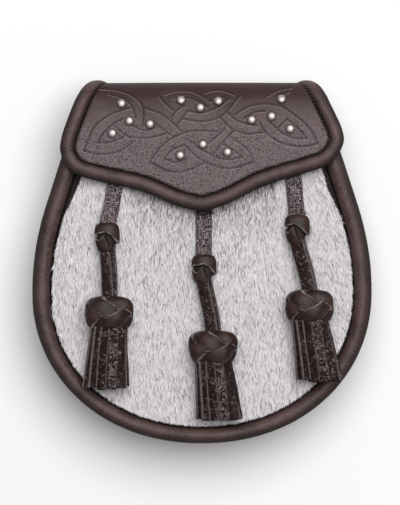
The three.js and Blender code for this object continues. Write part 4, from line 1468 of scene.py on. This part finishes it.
def stage(settings):
    """A large level floor, a wide round lamp overhead, a dim even surround, and the camera, which looks
    straight down on the front."""
    mesh = bpy.data.meshes.new("floor")
    corners = [(x * FLOOR_HALF, y * FLOOR_HALF, 0) for x, y in ((-1, -1), (1, -1), (1, 1), (-1, 1))]
    mesh.from_pydata(corners, [], [(0, 1, 2, 3)])
    mesh.materials.append(material("studio_floor"))
    floor = bpy.data.objects.new("floor", mesh)
    bpy.context.scene.collection.objects.link(floor)

    lamp = bpy.data.lights.new("overhead_lamp", "AREA")
    lamp.shape = "DISK"
    lamp.size = LAMP_SIZE
    lamp.energy = settings.lamp_power
    hung = bpy.data.objects.new("overhead_lamp", lamp)
    right, ahead, high = LAMP_PLACE
    hung.location = (right, ahead, high)
    hung.rotation_euler = (-math.atan2(ahead, high), math.atan2(right, high), 0)
    bpy.context.scene.collection.objects.link(hung)

    world = bpy.data.worlds.new("surround")
    world.use_nodes = True
    background = world.node_tree.nodes["Background"]
    background.inputs["Color"].default_value = linear("f2f0f2")
    background.inputs["Strength"].default_value = settings.surround
    bpy.context.scene.world = world

    camera = bpy.data.cameras.new("camera")
    camera.sensor_width = SENSOR
    camera.lens = SENSOR * (CAMERA_HEIGHT - VIEW_LEVEL) / VIEW_LONG_SIDE
    stand = bpy.data.objects.new("camera", camera)
    stand.location = (*CAMERA_OFFSET, CAMERA_HEIGHT)
    bpy.context.scene.collection.objects.link(stand)
    bpy.context.scene.camera = stand
    bpy.context.scene.view_settings.view_transform = "Standard"


# ---------------------------------------------------------------- settings, operators and panel


def colour_setting(name, description, code):
    """A colour property with an sRGB hex default."""
    return bpy.props.FloatVectorProperty(
        name=name, description=description, subtype="COLOR", size=4, min=0, max=1, default=linear(code)
    )


class SporranSettings(bpy.types.PropertyGroup):
    """Colours and sizes of the sporran that a user may change."""

    body_colour: colour_setting("Body leather", "Piping, gusset, back and flap edge", "533c3a")
    tooled_colour: colour_setting("Flap leather", "Lightest parts of the flap's grain", "6d5f61")
    thong_colour: colour_setting("Thong leather", "Straps and fringes", "2e1c19")
    knot_colour: colour_setting("Knot leather", "Knots and tassel heads", "3a2320")
    cut_colour: colour_setting("Cut edges", "Fibres at cut leather edges", "857877")
    dark_hair: colour_setting("Dark hairs", "The darkest hairs of the coat", "807779")
    pale_hair: colour_setting("Pale hairs", "The palest hairs of the coat", "f1edef")
    hair_length: bpy.props.FloatProperty(
        name="Hair length", description="Mean length of a hair", unit="LENGTH", default=4.8 * MM, precision=4
    )
    hair_width: bpy.props.FloatProperty(
        name="Hair width", description="Width of a lock of hairs drawn as one", unit="LENGTH",
        default=0.31 * MM, precision=5,
    )
    hair_count: bpy.props.IntProperty(
        name="Hairs", description="Number of locks over the whole hide", default=110000, min=1000, max=130000
    )
    hair_seed: bpy.props.IntProperty(name="Seed", description="Picks another coat", default=7)
    lamp_power: bpy.props.FloatProperty(
        name="Lamp", description="Power of the overhead lamp", unit="POWER", default=44.0
    )
    surround: bpy.props.FloatProperty(
        name="Surround", description="Brightness of the even surround", default=0.26, min=0, max=2
    )


class SPORRAN_OT_body(bpy.types.Operator):
    """Makes the front piping and the gusset with its stitching"""

    bl_idname = "sporran.make_body"
    bl_label = "Piping and gusset"

    def execute(self, context):
        front_piping()
        gusset()
        return {"FINISHED"}


class SPORRAN_OT_back(bpy.types.Operator):
    """Makes the back panel and the two belt loops, with their stitching"""

    bl_idname = "sporran.make_back"
    bl_label = "Back and belt loops"

    def execute(self, context):
        back_panel()
        belt_loops()
        return {"FINISHED"}


class SPORRAN_OT_hide(bpy.types.Operator):
    """Makes the hide's skin and its coat of hair"""

    bl_idname = "sporran.make_hide"
    bl_label = "Hide and hair"

    def execute(self, context):
        hide_skin()
        hair(context.scene.sporran)
        return {"FINISHED"}


class SPORRAN_OT_flap(bpy.types.Operator):
    """Makes the tooled flap, its rolled edge and its stitching"""

    bl_idname = "sporran.make_flap"
    bl_label = "Flap"

    def execute(self, context):
        flap()
        flap_binding()
        return {"FINISHED"}


class SPORRAN_OT_studs(bpy.types.Operator):
    """Makes the domed studs"""

    bl_idname = "sporran.make_studs"
    bl_label = "Studs"

    def execute(self, context):
        studs()
        return {"FINISHED"}


class SPORRAN_OT_tassels(bpy.types.Operator):
    """Makes the three tassels: straps, knots, woven heads and fringes"""

    bl_idname = "sporran.make_tassels"
    bl_label = "Tassels"

    def execute(self, context):
        for name, spec in TASSELS.items():
            straps(name, spec)
            strap_knot(name, spec)
            tassel_head(name, spec)
            fringe(name, spec)
        return {"FINISHED"}


class SPORRAN_OT_stage(bpy.types.Operator):
    """Makes the floor, the lamp, the even surround and the camera"""

    bl_idname = "sporran.make_stage"
    bl_label = "Stage"

    def execute(self, context):
        stage(context.scene.sporran)
        return {"FINISHED"}


OPERATORS = (
    SPORRAN_OT_stage,
    SPORRAN_OT_body,
    SPORRAN_OT_back,
    SPORRAN_OT_hide,
    SPORRAN_OT_flap,
    SPORRAN_OT_studs,
    SPORRAN_OT_tassels,
)


class SPORRAN_PT_sidebar(bpy.types.Panel):
    """Lists the settings and the pieces"""

    bl_idname = "SPORRAN_PT_sidebar"
    bl_label = "Day sporran"
    bl_space_type = "VIEW_3D"
    bl_region_type = "UI"
    bl_category = "Sporran"

    def draw(self, context):
        for key in SporranSettings.__annotations__:
            self.layout.prop(context.scene.sporran, key)
        for operator in OPERATORS:
            self.layout.operator(operator.bl_idname)


def register():
    """Adds the settings, the operators and the panel to Blender."""
    for kind in (SporranSettings, *OPERATORS, SPORRAN_PT_sidebar):
        bpy.utils.register_class(kind)
    bpy.types.Scene.sporran = bpy.props.PointerProperty(type=SporranSettings)


def unregister():
    """Takes them out again."""
    del bpy.types.Scene.sporran
    for kind in (SPORRAN_PT_sidebar, *reversed(OPERATORS), SporranSettings):
        bpy.utils.unregister_class(kind)


def main():
    """Registers the add-on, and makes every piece."""
    register()
    for operator in OPERATORS:
        group, name = operator.bl_idname.split(".")
        getattr(getattr(bpy.ops, group), name)()


if __name__ == "__main__":
    main()
